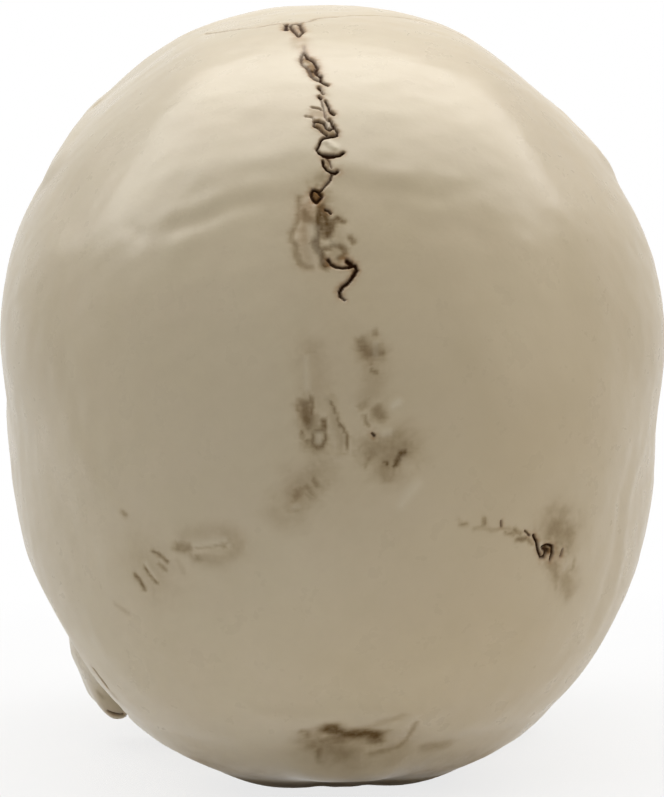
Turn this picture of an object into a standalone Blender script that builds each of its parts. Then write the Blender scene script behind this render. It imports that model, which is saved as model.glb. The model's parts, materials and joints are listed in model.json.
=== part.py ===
"""A life-size teaching skull: a hollow cast cranium, a lower jaw on springs and thirty-two set-in teeth.

The skull is shaped in its own frame: the ear holes on the X axis, +Y to the face, +Z up, +X its right.
At the end everything is tipped back on to the chin, the jaw angles and the nape, as it stands on a table.
"""
import math
import bpy
import bmesh
import numpy as np
from mathutils import Matrix, Vector
from mathutils.bvhtree import BVHTree

# Driving sizes of the skull, in metres
mm = 0.001
skull_length = 0.178        # brow to the back of the head
skull_breadth = 0.134       # across the side bones
vault_height = 0.126        # ear holes up to the crown
face_drop = 0.079           # ear holes down to the chin
shell_wall = 0.0055         # the braincase's own thickness
coarse_grain = 0.0030       # first skin, for broad blends
fine_grain = 0.0017         # second skin, with the openings cut
piece_gap = 0.0003          # between pieces that meet
overrun = 0.300             # how far cutters reach past what they cut

# Openings of the cranium
orbit_width = 0.0385
orbit_height = 0.0335
nose_width = 0.0228
nose_low_height = 0.0190
nose_passage_width = 0.0105
nose_high_width = 0.0114
nose_high_height = 0.0157
neck_hole_width = 0.0285
neck_hole_length = 0.0335
ear_hole_width = 0.0078

# Half the depth of each bar of bone at its fullest
brow_end_girth = 0.0061
outer_rim_girth = 0.0082
lower_rim_girth = 0.0050
nose_side_girth = 0.0061
nose_bridge_girth = 0.0064
skull_keel_girth = 0.0134
wing_plate_girth = 0.0080
cheek_arch_girth = 0.0085
mastoid_girth = 0.0117
stylus_girth = 0.0036
upper_ridge_girth = 0.0093
lower_ridge_girth = 0.0089
jaw_body_girth = 0.0132
ramus_girth = 0.0142
jaw_neck_girth = 0.0064
coronoid_girth = 0.0085
knuckle_half_length = 0.0093
knuckle_radius = 0.0046
root_length = 0.0063         # of the peg that holds a tooth

# Jaw springs and their screws
wire_radius = 0.00045
coil_radius = 0.0022         # to the middle of the wire
coil_pitch = 0.0017
loop_radius = 0.0024         # of the spring's end loops, to the middle of the wire
pin_radius = 0.0013          # shank of a spring screw
screw_head_radius = 0.0028
screw_head_height = 0.0016
screw_bite = 0.0040          # how far a screw goes into the plastic
slot_width = 0.0007
slot_depth = 0.0008
joint_clearance = 0.0007     # round the jaw's knuckles
bite_gap = 0.0005            # between the upper and lower back teeth
resting_flat = 0.0007        # worn off where the skull stands

# Counts
skin_triangles = 5600
jaw_triangles = 1900
tooth_sides = 12
coil_turns = 10
curl_points = 9

half_breadth = skull_breadth/2

# Places are (across, forward, up) shares: of half the breadth, of the length, and of the vault height
# above the ear holes or the face drop below them. Radii are shares of the length.
vault_midline_shares = (
    (0.430, 0.235), (0.468, 0.330), (0.464, 0.487), (0.412, 0.706), (0.285, 0.882), (0.080, 0.985),
    (-0.108, 1.004), (-0.280, 0.935), (-0.419, 0.756), (-0.497, 0.538), (-0.529, 0.303), (-0.513, 0.118),
    (-0.460, -0.050), (-0.376, -0.190), (-0.269, -0.253), (-0.108, -0.240), (0.054, -0.120), (0.215, 0.010),
    (0.350, 0.110))
vault_pole_share = (-0.12, 0.42)
vault_squareness_shares = ((0, 2.1), (60, 2.2), (90, 2.35), (130, 2.3), (180, 2.2), (225, 2.4), (270, 2.9),
                           (315, 2.4))
# The floor of the brain space, from the brow back to the nape
floor_shares = ((0.440, 0.430), (0.400, 0.400), (0.250, 0.330), (0.120, 0.200), (0.030, 0.060),
                (-0.080, -0.110), (-0.215, -0.140), (-0.340, -0.090), (-0.440, 0.000))

# Swellings: middle, half sizes, turn about X and Z in degrees; those off the middle come in pairs
swelling_shares = {
    "brow": ((0.25, 0.448, 0.303), (0.091, 0.045, 0.038), 0, 12),
    "glabella": ((0.00, 0.456, 0.303), (0.054, 0.034, 0.048), 0, 0),
    "cheek_wall": ((0.36, 0.366, -0.203), (0.084, 0.078, 0.100), 0, 0),
    "cheek_bone": ((0.70, 0.333, -0.127), (0.050, 0.045, 0.062), 0, 30),
    "nose_floor": ((0.00, 0.425, -0.304), (0.078, 0.045, 0.045), 0, 0),
    "palate": ((0.00, 0.312, -0.329), (0.140, 0.140, 0.030), 0, 0),
    "middle_mass": ((0.00, 0.250, 0.100), (0.088, 0.170, 0.095), 0, 0),
    "great_wing": ((0.55, 0.280, 0.151), (0.072, 0.086, 0.100), 0, 0),
    "ear_root": ((0.80, -0.030, 0.050), (0.045, 0.078, 0.045), 0, 0),
    "base_side": ((0.50, -0.075, -0.115), (0.120, 0.080, 0.050), 0, 0),
    "base_back": ((0.55, -0.161, -0.100), (0.097, 0.108, 0.060), 0, 0),
    "neck_knuckle": ((0.25, -0.040, -0.278), (0.027, 0.050, 0.028), 0, -25),
    "nape_knob": ((0.00, -0.482, 0.020), (0.060, 0.020, 0.026), 0, 0),
    "root_wall": ((0.28, 0.400, -0.300), (0.074, 0.054, 0.062), 0, 0)}

# Bars of bone: girth, places with a share of it each, the flatness, and the direction that the girth is along
bar_shares = {
    "brow_end": (brow_end_girth, (
        ((0.30, 0.452, 0.310), 1.00), ((0.57, 0.422, 0.328), 0.97), ((0.72, 0.370, 0.303), 0.94),
        ((0.765, 0.339, 0.235), 0.88)), 0.9, (0, 0, 1)),
    "outer_rim": (outer_rim_girth, (
        ((0.765, 0.339, 0.235), 0.65), ((0.78, 0.325, 0.100), 0.65), ((0.75, 0.330, -0.030), 0.78),
        ((0.68, 0.350, -0.180), 1.00)), 0.85, (0, 1, 0)),
    "lower_rim": (lower_rim_girth, (
        ((0.70, 0.360, -0.060), 1.00), ((0.50, 0.412, -0.010), 0.93), ((0.33, 0.430, 0.040), 0.93),
        ((0.22, 0.441, 0.110), 1.00)), 1.0, (0, 0, 1)),
    "nose_side": (nose_side_girth, (
        ((0.30, 0.400, -0.180), 1.00), ((0.23, 0.438, 0.034), 0.82), ((0.15, 0.450, 0.168), 0.76),
        ((0.13, 0.446, 0.260), 0.94)), 1.0, (1, 0, 0)),
    "nose_bridge": (nose_bridge_girth, (
        ((0.00, 0.430, 0.245), 1.00), ((0.00, 0.470, 0.165), 0.89), ((0.00, 0.494, 0.115), 0.72)), 0.8,
        (1, 0, 0)),
    "skull_keel": (skull_keel_girth, (
        ((0.00, 0.160, 0.000), 1.00), ((0.00, 0.045, -0.150), 0.80), ((0.00, -0.016, -0.253), 0.64)), 0.7,
        (1, 0, 0)),
    "wing_plate": (wing_plate_girth, (
        ((0.18, 0.165, -0.080), 1.00), ((0.19, 0.150, -0.280), 0.89), ((0.21, 0.140, -0.430), 0.67)), 0.45,
        (0, 1, 0)),
    "cheek_arch": (cheek_arch_girth, (
        ((0.69, 0.333, -0.127), 1.00), ((0.84, 0.272, -0.100), 0.75), ((0.94, 0.190, -0.038), 0.54),
        ((0.97, 0.108, 0.010), 0.50), ((0.94, 0.040, 0.034), 0.54), ((0.85, -0.015, 0.045), 0.71)), 0.62,
        (0, 0, 1)),
    "mastoid": (mastoid_girth, (
        ((0.77, -0.095, 0.034), 1.00), ((0.757, -0.080, -0.160), 0.86),
        ((0.745, -0.066, -0.375), 0.50)), 0.78,
        (0, 1, 0)),
    "stylus": (stylus_girth, (
        ((0.54, -0.010, -0.170), 1.00), ((0.51, 0.006, -0.290), 0.75), ((0.48, 0.024, -0.400), 0.55)), 1.0,
        (1, 0, 0))}

# The upper tooth ridge, as a horseshoe on each side of the middle
upper_ridge_shares = ((0.00, 0.448, -0.40), (0.17, 0.440, -0.40), (0.31, 0.400, -0.40), (0.40, 0.335, -0.40),
                      (0.46, 0.262, -0.39), (0.48, 0.215, -0.37))
upper_ridge_flatness_share = 0.72

# Hollows: places, each with its shares of the hollow's width and height
orbit_shares = (((0.56, 0.540, 0.180), 1.00, 1.00), ((0.52, 0.446, 0.185), 0.98, 0.98),
                ((0.40, 0.340, 0.190), 0.80, 0.85), ((0.26, 0.250, 0.180), 0.46, 0.53),
                ((0.17, 0.205, 0.170), 0.19, 0.21))
orbit_squareness_share = 2.5
nose_squareness_share = 2.3
squareness_blend = 0.42                 # radians over which one squareness runs into the next
pole_angle = 0.02
nose_low_shares = (((0.00, 0.580, -0.130), 1.00, 0.94), ((0.00, 0.430, -0.135), 1.00, 0.94),
                   ((0.00, 0.395, -0.135), 0.94, 0.90))
# Behind the front of the nose a wall of bone parts it into two passages
nose_passage_shares = (((0.108, 0.410, -0.135), 1.00, 0.92), ((0.108, 0.300, -0.130), 1.00, 1.03),
                       ((0.112, 0.100, -0.130), 1.00, 1.12))
nose_high_shares = (((0.00, 0.580, 0.000), 1.00, 1.00), ((0.00, 0.440, 0.000), 1.00, 1.00),
                    ((0.00, 0.300, 0.010), 0.81, 0.91))
neck_hole_shares = (((0.00, -0.140, -0.600), 1.00, 1.00), ((0.00, -0.110, -0.200), 1.00, 1.00),
                    ((0.00, -0.100, 0.100), 0.95, 0.94))
ear_hole_shares = (((1.10, 0.004, 0.020), 1.00, 1.00), ((0.86, 0.004, 0.010), 0.91, 1.00),
                   ((0.66, 0.014, 0.000), 0.73, 0.73))

# Worked strokes on the skin: path, reach share, push share (out is positive)
stroke_shares = (
    ("temple", ((0.80, 0.240, 0.250), (0.85, 0.180, 0.100)), 0.150, -0.016),
    ("temple_line", ((0.66, 0.375, 0.42), (0.66, 0.30, 0.62), (0.72, 0.12, 0.78), (0.82, -0.08, 0.78)), 0.040,
     0.005),
    ("nape_line", ((0.00, -0.490, -0.02), (0.25, -0.470, 0.00), (0.50, -0.400, -0.02), (0.72, -0.260, -0.02)),
     0.050, 0.006),
    ("lower_nape_line", ((0.00, -0.340, -0.22), (0.25, -0.320, -0.21), (0.45, -0.250, -0.20)), 0.035, 0.004),
    ("nape_crest", ((0.00, -0.470, -0.08), (0.00, -0.330, -0.23), (0.00, -0.230, -0.26)), 0.028, 0.005),
    ("canine_hollow", ((0.40, 0.440, -0.200),), 0.060, -0.012),
    ("side_bulge", ((0.90, -0.050, 0.60), (0.92, -0.220, 0.60)), 0.150, 0.011),
    ("side_slope", ((0.62, 0.020, 0.90), (0.66, -0.200, 0.85)), 0.120, -0.008),
    ("side_foot", ((0.87, -0.030, 0.03), (0.84, -0.280, 0.05)), 0.130, -0.019),
    ("nape_lobe", ((0.20, -0.425, -0.16),), 0.120, 0.013),
    ("nape_corner", ((0.62, -0.330, -0.06),), 0.130, -0.006),
    ("ear_bulge", ((0.95, -0.100, 0.36),), 0.100, 0.005),
    ("brow_furrow", ((0.35, 0.460, 0.44),), 0.110, -0.006))


# Lower jaw
jaw_hinge_share = (0.00, 0.065, -0.050)
knuckle_share = (0.74, 0.065, -0.050)
jaw_swelling_shares = {
    "chin": ((0.00, 0.418, -0.910), (0.072, 0.034, 0.042), 0, 0),
    "chin_corner": ((0.20, 0.398, -0.925), (0.052, 0.031, 0.033), 0, 0)}
jaw_bar_shares = {
    "body": (jaw_body_girth, (
        ((0.00, 0.395, -0.835), 1.00), ((0.21, 0.380, -0.835), 0.95), ((0.39, 0.325, -0.800), 0.89),
        ((0.52, 0.240, -0.730), 0.84), ((0.60, 0.150, -0.630), 0.81), ((0.635, 0.085, -0.540), 0.68)), 0.46,
        (0, 0, 1)),
    "ramus": (ramus_girth, (
        ((0.640, 0.112, -0.550), 0.98), ((0.690, 0.124, -0.400), 1.00), ((0.715, 0.126, -0.240), 0.85)), 0.28,
        (0, 1, 0)),
    "neck": (jaw_neck_girth, (
        ((0.715, 0.095, -0.300), 1.00), ((0.735, 0.077, -0.180), 0.69), ((0.740, 0.065, -0.090), 0.69)), 0.80,
        (0, 1, 0)),
    "coronoid": (coronoid_girth, (
        ((0.710, 0.150, -0.300), 1.00), ((0.705, 0.185, -0.130), 0.71), ((0.700, 0.200, 0.000), 0.38)), 0.50,
        (0, 1, 0))}
lower_ridge_shares = ((0.00, 0.424, -0.72), (0.175, 0.412, -0.72), (0.29, 0.368, -0.72), (0.37, 0.307, -0.72),
                      (0.42, 0.237, -0.71), (0.445, 0.175, -0.69))
lower_ridge_flatness_share = 0.66

# Teeth, from the middle back: shares of the ridge's length in each jaw, then depth to width
tooth_width_shares = (("central_incisor", 8.4, 5.6), ("lateral_incisor", 6.8, 6.1), ("canine", 7.6, 7.0),
                      ("first_premolar", 7.1, 7.0), ("second_premolar", 6.9, 7.1),
                      ("first_molar", 10.2, 10.8), ("second_molar", 9.6, 10.2), ("third_molar", 8.6, 9.4))
upper_depth_shares = (0.82, 0.88, 1.02, 1.24, 1.28, 1.04, 1.06, 1.04)
lower_depth_shares = (1.02, 1.00, 1.06, 1.10, 1.14, 0.94, 0.94, 0.94)
upper_gum_share = -0.470
lower_gum_share = -0.672
bite_share = -0.572
overbite_shares = (0.018, 0.014, 0.018, 0, 0, 0, 0, 0)
# height share of the crown, width share, depth share
crown_shares = {
    "incisor": ((0.00, 0.76, 0.84), (0.34, 0.90, 1.00), (0.72, 0.97, 0.66), (1.00, 0.94, 0.30)),
    "canine": ((0.00, 0.78, 0.84), (0.40, 0.98, 1.00), (0.74, 0.84, 0.72), (1.00, 0.26, 0.26)),
    "premolar": ((0.00, 0.80, 0.86), (0.45, 0.98, 1.00), (0.84, 0.90, 0.86), (1.00, 0.62, 0.58)),
    "molar": ((0.00, 0.84, 0.88), (0.45, 0.98, 1.00), (0.84, 0.94, 0.92), (1.00, 0.76, 0.72))}
peg_width_share = 0.56
peg_depth_share = 0.60
tooth_squareness_share = 2.7

ridge_start_share = 0.17                # the upper bite is trimmed from here forward
ridge_back_share = 0.13                 # the lower bite is trimmed from here forward
ridge_half_share = 0.585                # and this far to each side

# Springs and screws
dome_share = 0.62
screw_sides = 12
loop_sweep = 235
loop_points = 8
ease_points = 6
ease_turns = 1.3
ease_share = 0.45
# where the screws stand, forward and up
upper_anchor_share = (0.165, 0.150)
lower_anchor_share = (0.150, -0.310)

# Colours, roughness and metal
finishes = {"bone": ((0.80, 0.70, 0.53), 0.30, 0.0), "tooth": ((0.84, 0.78, 0.64), 0.22, 0.0),
            "steel": ((0.60, 0.60, 0.62), 0.28, 1.0)}


def place(share):
    """Metres in the skull's frame from (across, forward, up) shares."""
    rise = vault_height if share[2] > 0 else face_drop
    return Vector((share[0]*half_breadth, share[1]*skull_length, share[2]*rise))


def mirrored(point, side):
    return Vector((point[0]*side, point[1], point[2]))


def spline(points, count, closed=False):
    """A smooth curve through the given rows."""
    rows = np.array(points, float)
    total = len(rows)
    if closed:
        at = np.arange(total)
        before, start, end, after = rows[at-1], rows[at], rows[(at+1) % total], rows[(at+2) % total]
        spans = total
    else:
        padded = np.vstack([2*rows[0]-rows[1], rows, 2*rows[-1]-rows[-2]])
        before, start, end, after = padded[:-3], padded[1:-2], padded[2:-1], padded[3:]
        spans = total-1
    along = np.linspace(0, spans, count, endpoint=not closed)
    span = np.minimum(along.astype(int), spans-1)
    t = (along-span)[:, None]
    a, b, c, d = before[span], start[span], end[span], after[span]
    return 0.5*(2*b+(c-a)*t+(2*a-5*b+4*c-d)*t*t+(3*b-a-3*c+d)*t**3)


def rounded_square(count, squareness):
    angle = np.linspace(0, 2*math.pi, count, endpoint=False)
    across, up = np.cos(angle), np.sin(angle)
    reach = (abs(across)**squareness+abs(up)**squareness)**(-1/squareness)
    return across*reach, up*reach


def ring_body(bm, rings):
    """A closed skin over rings of points, with flat ends."""
    rows = [[bm.verts.new(point) for point in ring] for ring in rings]
    count = len(rows[0])
    for low, high in zip(rows, rows[1:]):
        for k in range(count):
            after = (k+1) % count
            bm.faces.new((low[k], low[after], high[after], high[k]))
    bm.faces.new(rows[0][::-1])
    bm.faces.new(rows[-1])


def swelling(bm, middle, half_sizes, turn_x, turn_z):
    for side in ((1, -1) if middle[0] else (1,)):
        turn = Matrix.Rotation(math.radians(turn_z)*side, 4, "Z")
        turn @= Matrix.Rotation(math.radians(turn_x), 4, "X")
        size = Matrix.Diagonal((*half_sizes, 1))
        bmesh.ops.create_icosphere(bm, subdivisions=3, radius=1,
                                   matrix=Matrix.Translation(mirrored(middle, side)) @ turn @ size)


def bar(bm, points, radii, flatness, wide, count=24, around=16, squareness=2.0):
    """A bar on a smooth path with round ends; radii lie along wide, the other way is flatter."""
    paired = any(point[0] for point in points)
    for side in ((1, -1) if paired else (1,)):
        rows = [[point[0]*side, point[1], point[2], radius] for point, radius in zip(points, radii)]
        smooth = spline(rows, count)
        path, radius = smooth[:, :3], smooth[:, 3]
        run = np.gradient(path, axis=0)
        run /= np.linalg.norm(run, axis=1)[:, None]
        lead = np.array((wide[0]*side, wide[1], wide[2]), float)
        first = lead-(run @ lead)[:, None]*run
        first /= np.linalg.norm(first, axis=1)[:, None]
        second = np.cross(run, first)
        a, b = rounded_square(around, squareness)
        rings = []
        end_angles = np.radians((80, 60, 35))
        stops = [(0, -math.sin(t), math.cos(t)) for t in end_angles]
        stops += [(k, 0, 1) for k in range(count)]
        stops += [(count-1, math.sin(t), math.cos(t)) for t in end_angles[::-1]]
        for k, beyond, shrink in stops:
            r = radius[k]*shrink
            middle = path[k]+run[k]*radius[k]*min(1, flatness)*beyond
            rings.append(middle+first[k]*(a*r)[:, None]+second[k]*(b*r*flatness)[:, None])
        ring_body(bm, rings)


def reach_round(line, pole, turn, outside):
    """How far a (forward, up) line lies from the pole at each angle; outside where it doesn't pass."""
    rows = np.array(line)-np.array(pole)
    angle = np.arctan2(rows[:, 1], rows[:, 0]) % (2*math.pi)
    order = np.argsort(angle)
    reach = np.hypot(*rows.T)[order]
    if outside is None:
        return np.interp(turn, angle[order], reach, period=2*math.pi)
    return np.interp(turn, angle[order], reach, left=outside, right=outside)


def braincase(bm, inset=0, around=96, across=44):
    """The vault's midline outline swells out from the pole to each side; an inset leaves the shell's wall."""
    pole = place((0, *vault_pole_share))[1:]
    turn = np.linspace(0, 2*math.pi, around, endpoint=False)
    outline = spline([place((0, y, z))[1:] for y, z in vault_midline_shares], 400, closed=True)
    reach = reach_round(outline, pole, turn, None)-inset
    if inset:
        floor = spline([place((0, y, z))[1:] for y, z in floor_shares], 200)
        reach = np.minimum(reach, reach_round(floor, pole, turn, overrun))
    half_width = half_breadth-inset
    knots = np.radians([angle for angle, power in vault_squareness_shares])
    powers = np.array([power for angle, power in vault_squareness_shares])
    weight = np.exp(-(np.angle(np.exp(1j*(turn[:, None]-knots)))/squareness_blend)**2)
    power = (weight*powers).sum(axis=1)/weight.sum(axis=1)
    rings = []
    for swing in np.linspace(pole_angle, math.pi-pole_angle, across):
        c, s = math.cos(swing), math.sin(swing)
        r = (abs(c)**power+abs(s)**power)**(-1/power)
        out = s*r*reach
        rings.append(np.c_[half_width*c*r, pole[0]+out*np.cos(turn), pole[1]+out*np.sin(turn)])
    ring_body(bm, rings)


def tunnel(bm, stations, width, height, squareness, axis, count=20, around=24):
    """A hollow along an axis through places that each have their share of the width and height."""
    paired = any(place_share[0] for place_share, w, h in stations)
    for side in ((1, -1) if paired else (1,)):
        rows = [(*mirrored(place(p), side), w*width/2, h*height/2) for p, w, h in stations]
        rings = []
        a, b = rounded_square(around, squareness)
        for x, y, z, w, h in spline(rows, count):
            if axis == "Y":
                rings.append(np.c_[x+a*w, np.full(around, y), z+b*h])
            elif axis == "Z":
                rings.append(np.c_[x+a*w, y+b*h, np.full(around, z)])
            else:
                rings.append(np.c_[np.full(around, x), y+a*w, z+b*h])
        ring_body(bm, rings)


def body_from(bm, name):
    bmesh.ops.recalc_face_normals(bm, faces=bm.faces)
    mesh = bpy.data.meshes.new(name)
    bm.to_mesh(mesh)
    bm.free()
    body = bpy.data.objects.new(name, mesh)
    bpy.context.scene.collection.objects.link(body)
    return body


def settle(body):
    """Replaces the mesh by what the modifiers make of it."""
    graph = bpy.context.evaluated_depsgraph_get()
    graph.update()
    mesh = bpy.data.meshes.new_from_object(body.evaluated_get(graph))
    body.modifiers.clear()
    old = body.data
    body.data = mesh
    bpy.data.meshes.remove(old)


def fuse(body, grain):
    remesh = body.modifiers.new("fuse", "REMESH")
    remesh.mode = "VOXEL"
    remesh.voxel_size = grain
    settle(body)


def carve(body, cutter):
    cut = body.modifiers.new("carve", "BOOLEAN")
    cut.operation = "DIFFERENCE"
    cut.solver = "EXACT"
    cut.object = cutter
    settle(body)
    bpy.data.objects.remove(cutter)


def positions(mesh):
    flat = np.empty(len(mesh.vertices)*3)
    mesh.vertices.foreach_get("co", flat)
    return flat.reshape(-1, 3)


def relax(body, times):
    """Evens the skin out without shrinking it."""
    mesh = body.data
    points = positions(mesh)
    ends = np.empty(len(mesh.edges)*2, np.int64)
    mesh.edges.foreach_get("vertices", ends)
    ends = ends.reshape(-1, 2)
    total = len(points)
    valence = np.bincount(ends.ravel(), minlength=total)[:, None]

    def mean(values):
        sums = [np.bincount(ends[:, 0], weights=values[ends[:, 1], k], minlength=total)
                + np.bincount(ends[:, 1], weights=values[ends[:, 0], k], minlength=total) for k in range(3)]
        return np.array(sums).T/valence

    for turn in range(times):
        points = points+0.5*(mean(points)-points)
        points = points-0.53*(mean(points)-points)
    mesh.vertices.foreach_set("co", points.ravel())
    mesh.update()


def stroke(body, strokes):
    """Raises or sinks the skin along paths, alike on both sides."""
    mesh = body.data
    mesh.update()
    points = positions(mesh)
    normals = np.empty(len(mesh.vertices)*3)
    mesh.vertex_normals.foreach_get("vector", normals)
    normals = normals.reshape(-1, 3)
    for name, path_shares, reach_share, push_share in strokes:
        folded = np.c_[abs(points[:, 0]), points[:, 1:]]
        path = np.array([place(p) for p in path_shares])
        if len(path) > 2:
            path = spline(path, 4*len(path))
        nearest = np.full(len(points), np.inf)
        for start, end in zip(path, path[1:] if len(path) > 1 else path):
            run = end-start
            t = np.clip((folded-start) @ run/max(run @ run, 1e-12), 0, 1)
            nearest = np.minimum(nearest, np.linalg.norm(folded-start-t[:, None]*run, axis=1))
        d = nearest/(reach_share*skull_length)
        weight = np.where(d < 1, (1-d*d)**2, 0)
        points = points+normals*(weight*push_share*skull_length)[:, None]
    mesh.vertices.foreach_set("co", points.ravel())
    mesh.update()


def thin_out(body, triangles):
    body.data.calc_loop_triangles()
    reduce = body.modifiers.new("reduce", "DECIMATE")
    reduce.ratio = min(1, triangles/len(body.data.loop_triangles))
    settle(body)


def add_clay(bm, rounds, lengths, ridge_shares, ridge_girth, ridge_flatness):
    """Puts down the swellings, the bars and a tooth ridge, to be fused into one skin."""
    for middle, sizes, turn_x, turn_z in rounds.values():
        swelling(bm, place(middle), [s*skull_length for s in sizes], turn_x, turn_z)
    for girth, stations, flatness, wide in lengths.values():
        bar(bm, [place(p) for p, share in stations], [girth*share for p, share in stations], flatness, wide)
    ridge = [place(p) for p in ridge_shares]
    bar(bm, ridge, [ridge_girth]*len(ridge), ridge_flatness, (0, 0, 1))


def make_cranium():
    bm = bmesh.new()
    braincase(bm)
    add_clay(bm, swelling_shares, bar_shares, upper_ridge_shares, upper_ridge_girth,
             upper_ridge_flatness_share)
    body = body_from(bm, "cranium")
    fuse(body, coarse_grain)
    relax(body, 6)

    brain_space = bmesh.new()
    braincase(brain_space, shell_wall)
    carve(body, body_from(brain_space, "brain_space"))
    openings = bmesh.new()
    tunnel(openings, orbit_shares, orbit_width, orbit_height, orbit_squareness_share, "Y")
    tunnel(openings, neck_hole_shares, neck_hole_width, neck_hole_length, 2.0, "Z")
    tunnel(openings, ear_hole_shares, ear_hole_width, ear_hole_width, 2.0, "X")
    carve(body, body_from(openings, "openings"))
    nose_low = bmesh.new()
    tunnel(nose_low, nose_low_shares, nose_width, nose_low_height, nose_squareness_share, "Y")
    carve(body, body_from(nose_low, "nose_low"))
    passages = bmesh.new()
    tunnel(passages, nose_passage_shares, nose_passage_width, nose_low_height, nose_squareness_share, "Y")
    carve(body, body_from(passages, "passages"))
    nose_high = bmesh.new()
    tunnel(nose_high, nose_high_shares, nose_high_width, nose_high_height, nose_squareness_share, "Y")
    carve(body, body_from(nose_high, "nose_high"))
    fuse(body, fine_grain)
    relax(body, 5)
    stroke(body, stroke_shares)
    thin_out(body, skin_triangles)
    return body


def trim(body, low, high, name):
    """Takes away what lies in a box."""
    cut = bmesh.new()
    box = Matrix.Translation((low+high)/2) @ Matrix.Diagonal((*(high-low), 1))
    bmesh.ops.create_cube(cut, size=1, matrix=box)
    carve(body, body_from(cut, name))


def make_jaw():
    bm = bmesh.new()
    add_clay(bm, jaw_swelling_shares, jaw_bar_shares, lower_ridge_shares, lower_ridge_girth,
             lower_ridge_flatness_share)
    swelling(bm, place(knuckle_share), (knuckle_half_length, knuckle_radius, knuckle_radius), 0, 0)
    body = body_from(bm, "mandible")
    fuse(body, fine_grain)
    relax(body, 8)
    thin_out(body, jaw_triangles)
    return body


def tooth_rows(ridge_shares, widths):
    """Where each tooth of one side stands: its middle, its direction along the ridge, and its width."""
    path = spline([place(p) for p in ridge_shares], 400)[:, :2]
    steps = np.hypot(*np.diff(path, axis=0).T)
    run = np.concatenate(([0], np.cumsum(steps)))
    scale = run[-1]/sum(widths)
    rows = []
    start = 0
    for width in widths:
        share = width*scale
        middle = [np.interp(start+share/2, run, path[:, k]) for k in (0, 1)]
        before = np.array([np.interp(start, run, path[:, k]) for k in (0, 1)])
        after = np.array([np.interp(start+share, run, path[:, k]) for k in (0, 1)])
        chord = after-before
        reach = np.linalg.norm(chord)
        rows.append((middle, chord/reach, reach-piece_gap))
        start += share
    return rows


def tooth_rings(middle, along, side, levels):
    """Rings of a tooth: (height, half width, half depth) each."""
    a, b = rounded_square(tooth_sides, tooth_squareness_share)
    rings = []
    for height, half_width, half_depth in levels:
        x = middle[0]+a*half_width*along[0]-b*half_depth*along[1]
        y = middle[1]+a*half_width*along[1]+b*half_depth*along[0]
        rings.append(np.c_[x*side, y, np.full(tooth_sides, height)])
    return rings


def make_teeth(jaw, body, ridge_shares, widths, depth_shares, gum, bite, overbites):
    """Sets the teeth of one jaw into sockets cut in its ridge."""
    up = 1 if bite > gum else -1
    teeth = []
    sockets = bmesh.new()
    grown = piece_gap/math.cos(math.pi/tooth_sides)
    names = [row[0] for row in tooth_width_shares]
    for (middle, along, width), name, depth_share, overbite in zip(tooth_rows(ridge_shares, widths), names,
                                                                    depth_shares, overbites):
        depth = width*depth_share
        crown = abs(bite-gum)-piece_gap+overbite*face_drop
        foot = gum-up*root_length
        peg_width, peg_depth = width*peg_width_share/2, depth*peg_depth_share/2
        shape = next(rows for kind, rows in crown_shares.items() if kind in name)
        neck = gum+up*piece_gap
        levels = [(foot, peg_width, peg_depth), (neck, peg_width, peg_depth)]
        levels += [(neck+up*crown*h, width*w/2, depth*d/2) for h, w, d in shape]
        hole = [(foot-up*piece_gap, peg_width+grown, peg_depth+grown),
                (gum+up*root_length, peg_width+grown, peg_depth+grown)]
        for side, side_name in ((1, "right"), (-1, "left")):
            bm = bmesh.new()
            ring_body(bm, tooth_rings(middle, along, side, levels))
            teeth.append(body_from(bm, f"{jaw}_{side_name}_{name}"))
            ring_body(sockets, tooth_rings(middle, along, side, hole))
    carve(body, body_from(sockets, f"{jaw}_sockets"))
    return teeth


def surface_across(body, y, z, start, step):
    """Where a line along X first meets the body."""
    tree = BVHTree.FromPolygons([v.co for v in body.data.vertices], [p.vertices for p in body.data.polygons])
    hit = tree.ray_cast(Vector((start, y, z)), Vector((step, 0, 0)))
    return hit[0].x


def round_bar(name, profile, y, z, side):
    """A turned body along X from (place, radius) pairs."""
    angle = np.linspace(0, 2*math.pi, screw_sides, endpoint=False)
    rings = []
    for x, radius in profile:
        rings.append(np.c_[np.full(screw_sides, x*side), y+radius*np.cos(angle), z+radius*np.sin(angle)])
    bm = bmesh.new()
    ring_body(bm, rings)
    return body_from(bm, name)


def make_screw(name, body, wall, seat, y, z, side):
    """A slotted screw along X with its foot in the body's wall, and the hole that it stands in."""
    foot = wall-screw_bite
    top = seat+screw_head_height
    shoulder = seat+screw_head_height/2
    screw = round_bar(name, [(foot, pin_radius), (seat, pin_radius), (seat, screw_head_radius),
                             (shoulder, screw_head_radius), (top, screw_head_radius*dome_share)], y, z, side)
    ends = sorted(((top-slot_depth)*side, (top+slot_depth)*side))
    trim(screw, Vector((ends[0], y-overrun, z-slot_width/2)),
         Vector((ends[1], y+overrun, z+slot_width/2)), "slot")
    hole_radius = pin_radius+piece_gap/math.cos(math.pi/screw_sides)
    ends = [(foot-piece_gap, hole_radius), (wall+screw_bite, hole_radius)]
    carve(body, round_bar("screw_hole", ends, y, z, side))
    return screw


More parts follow.
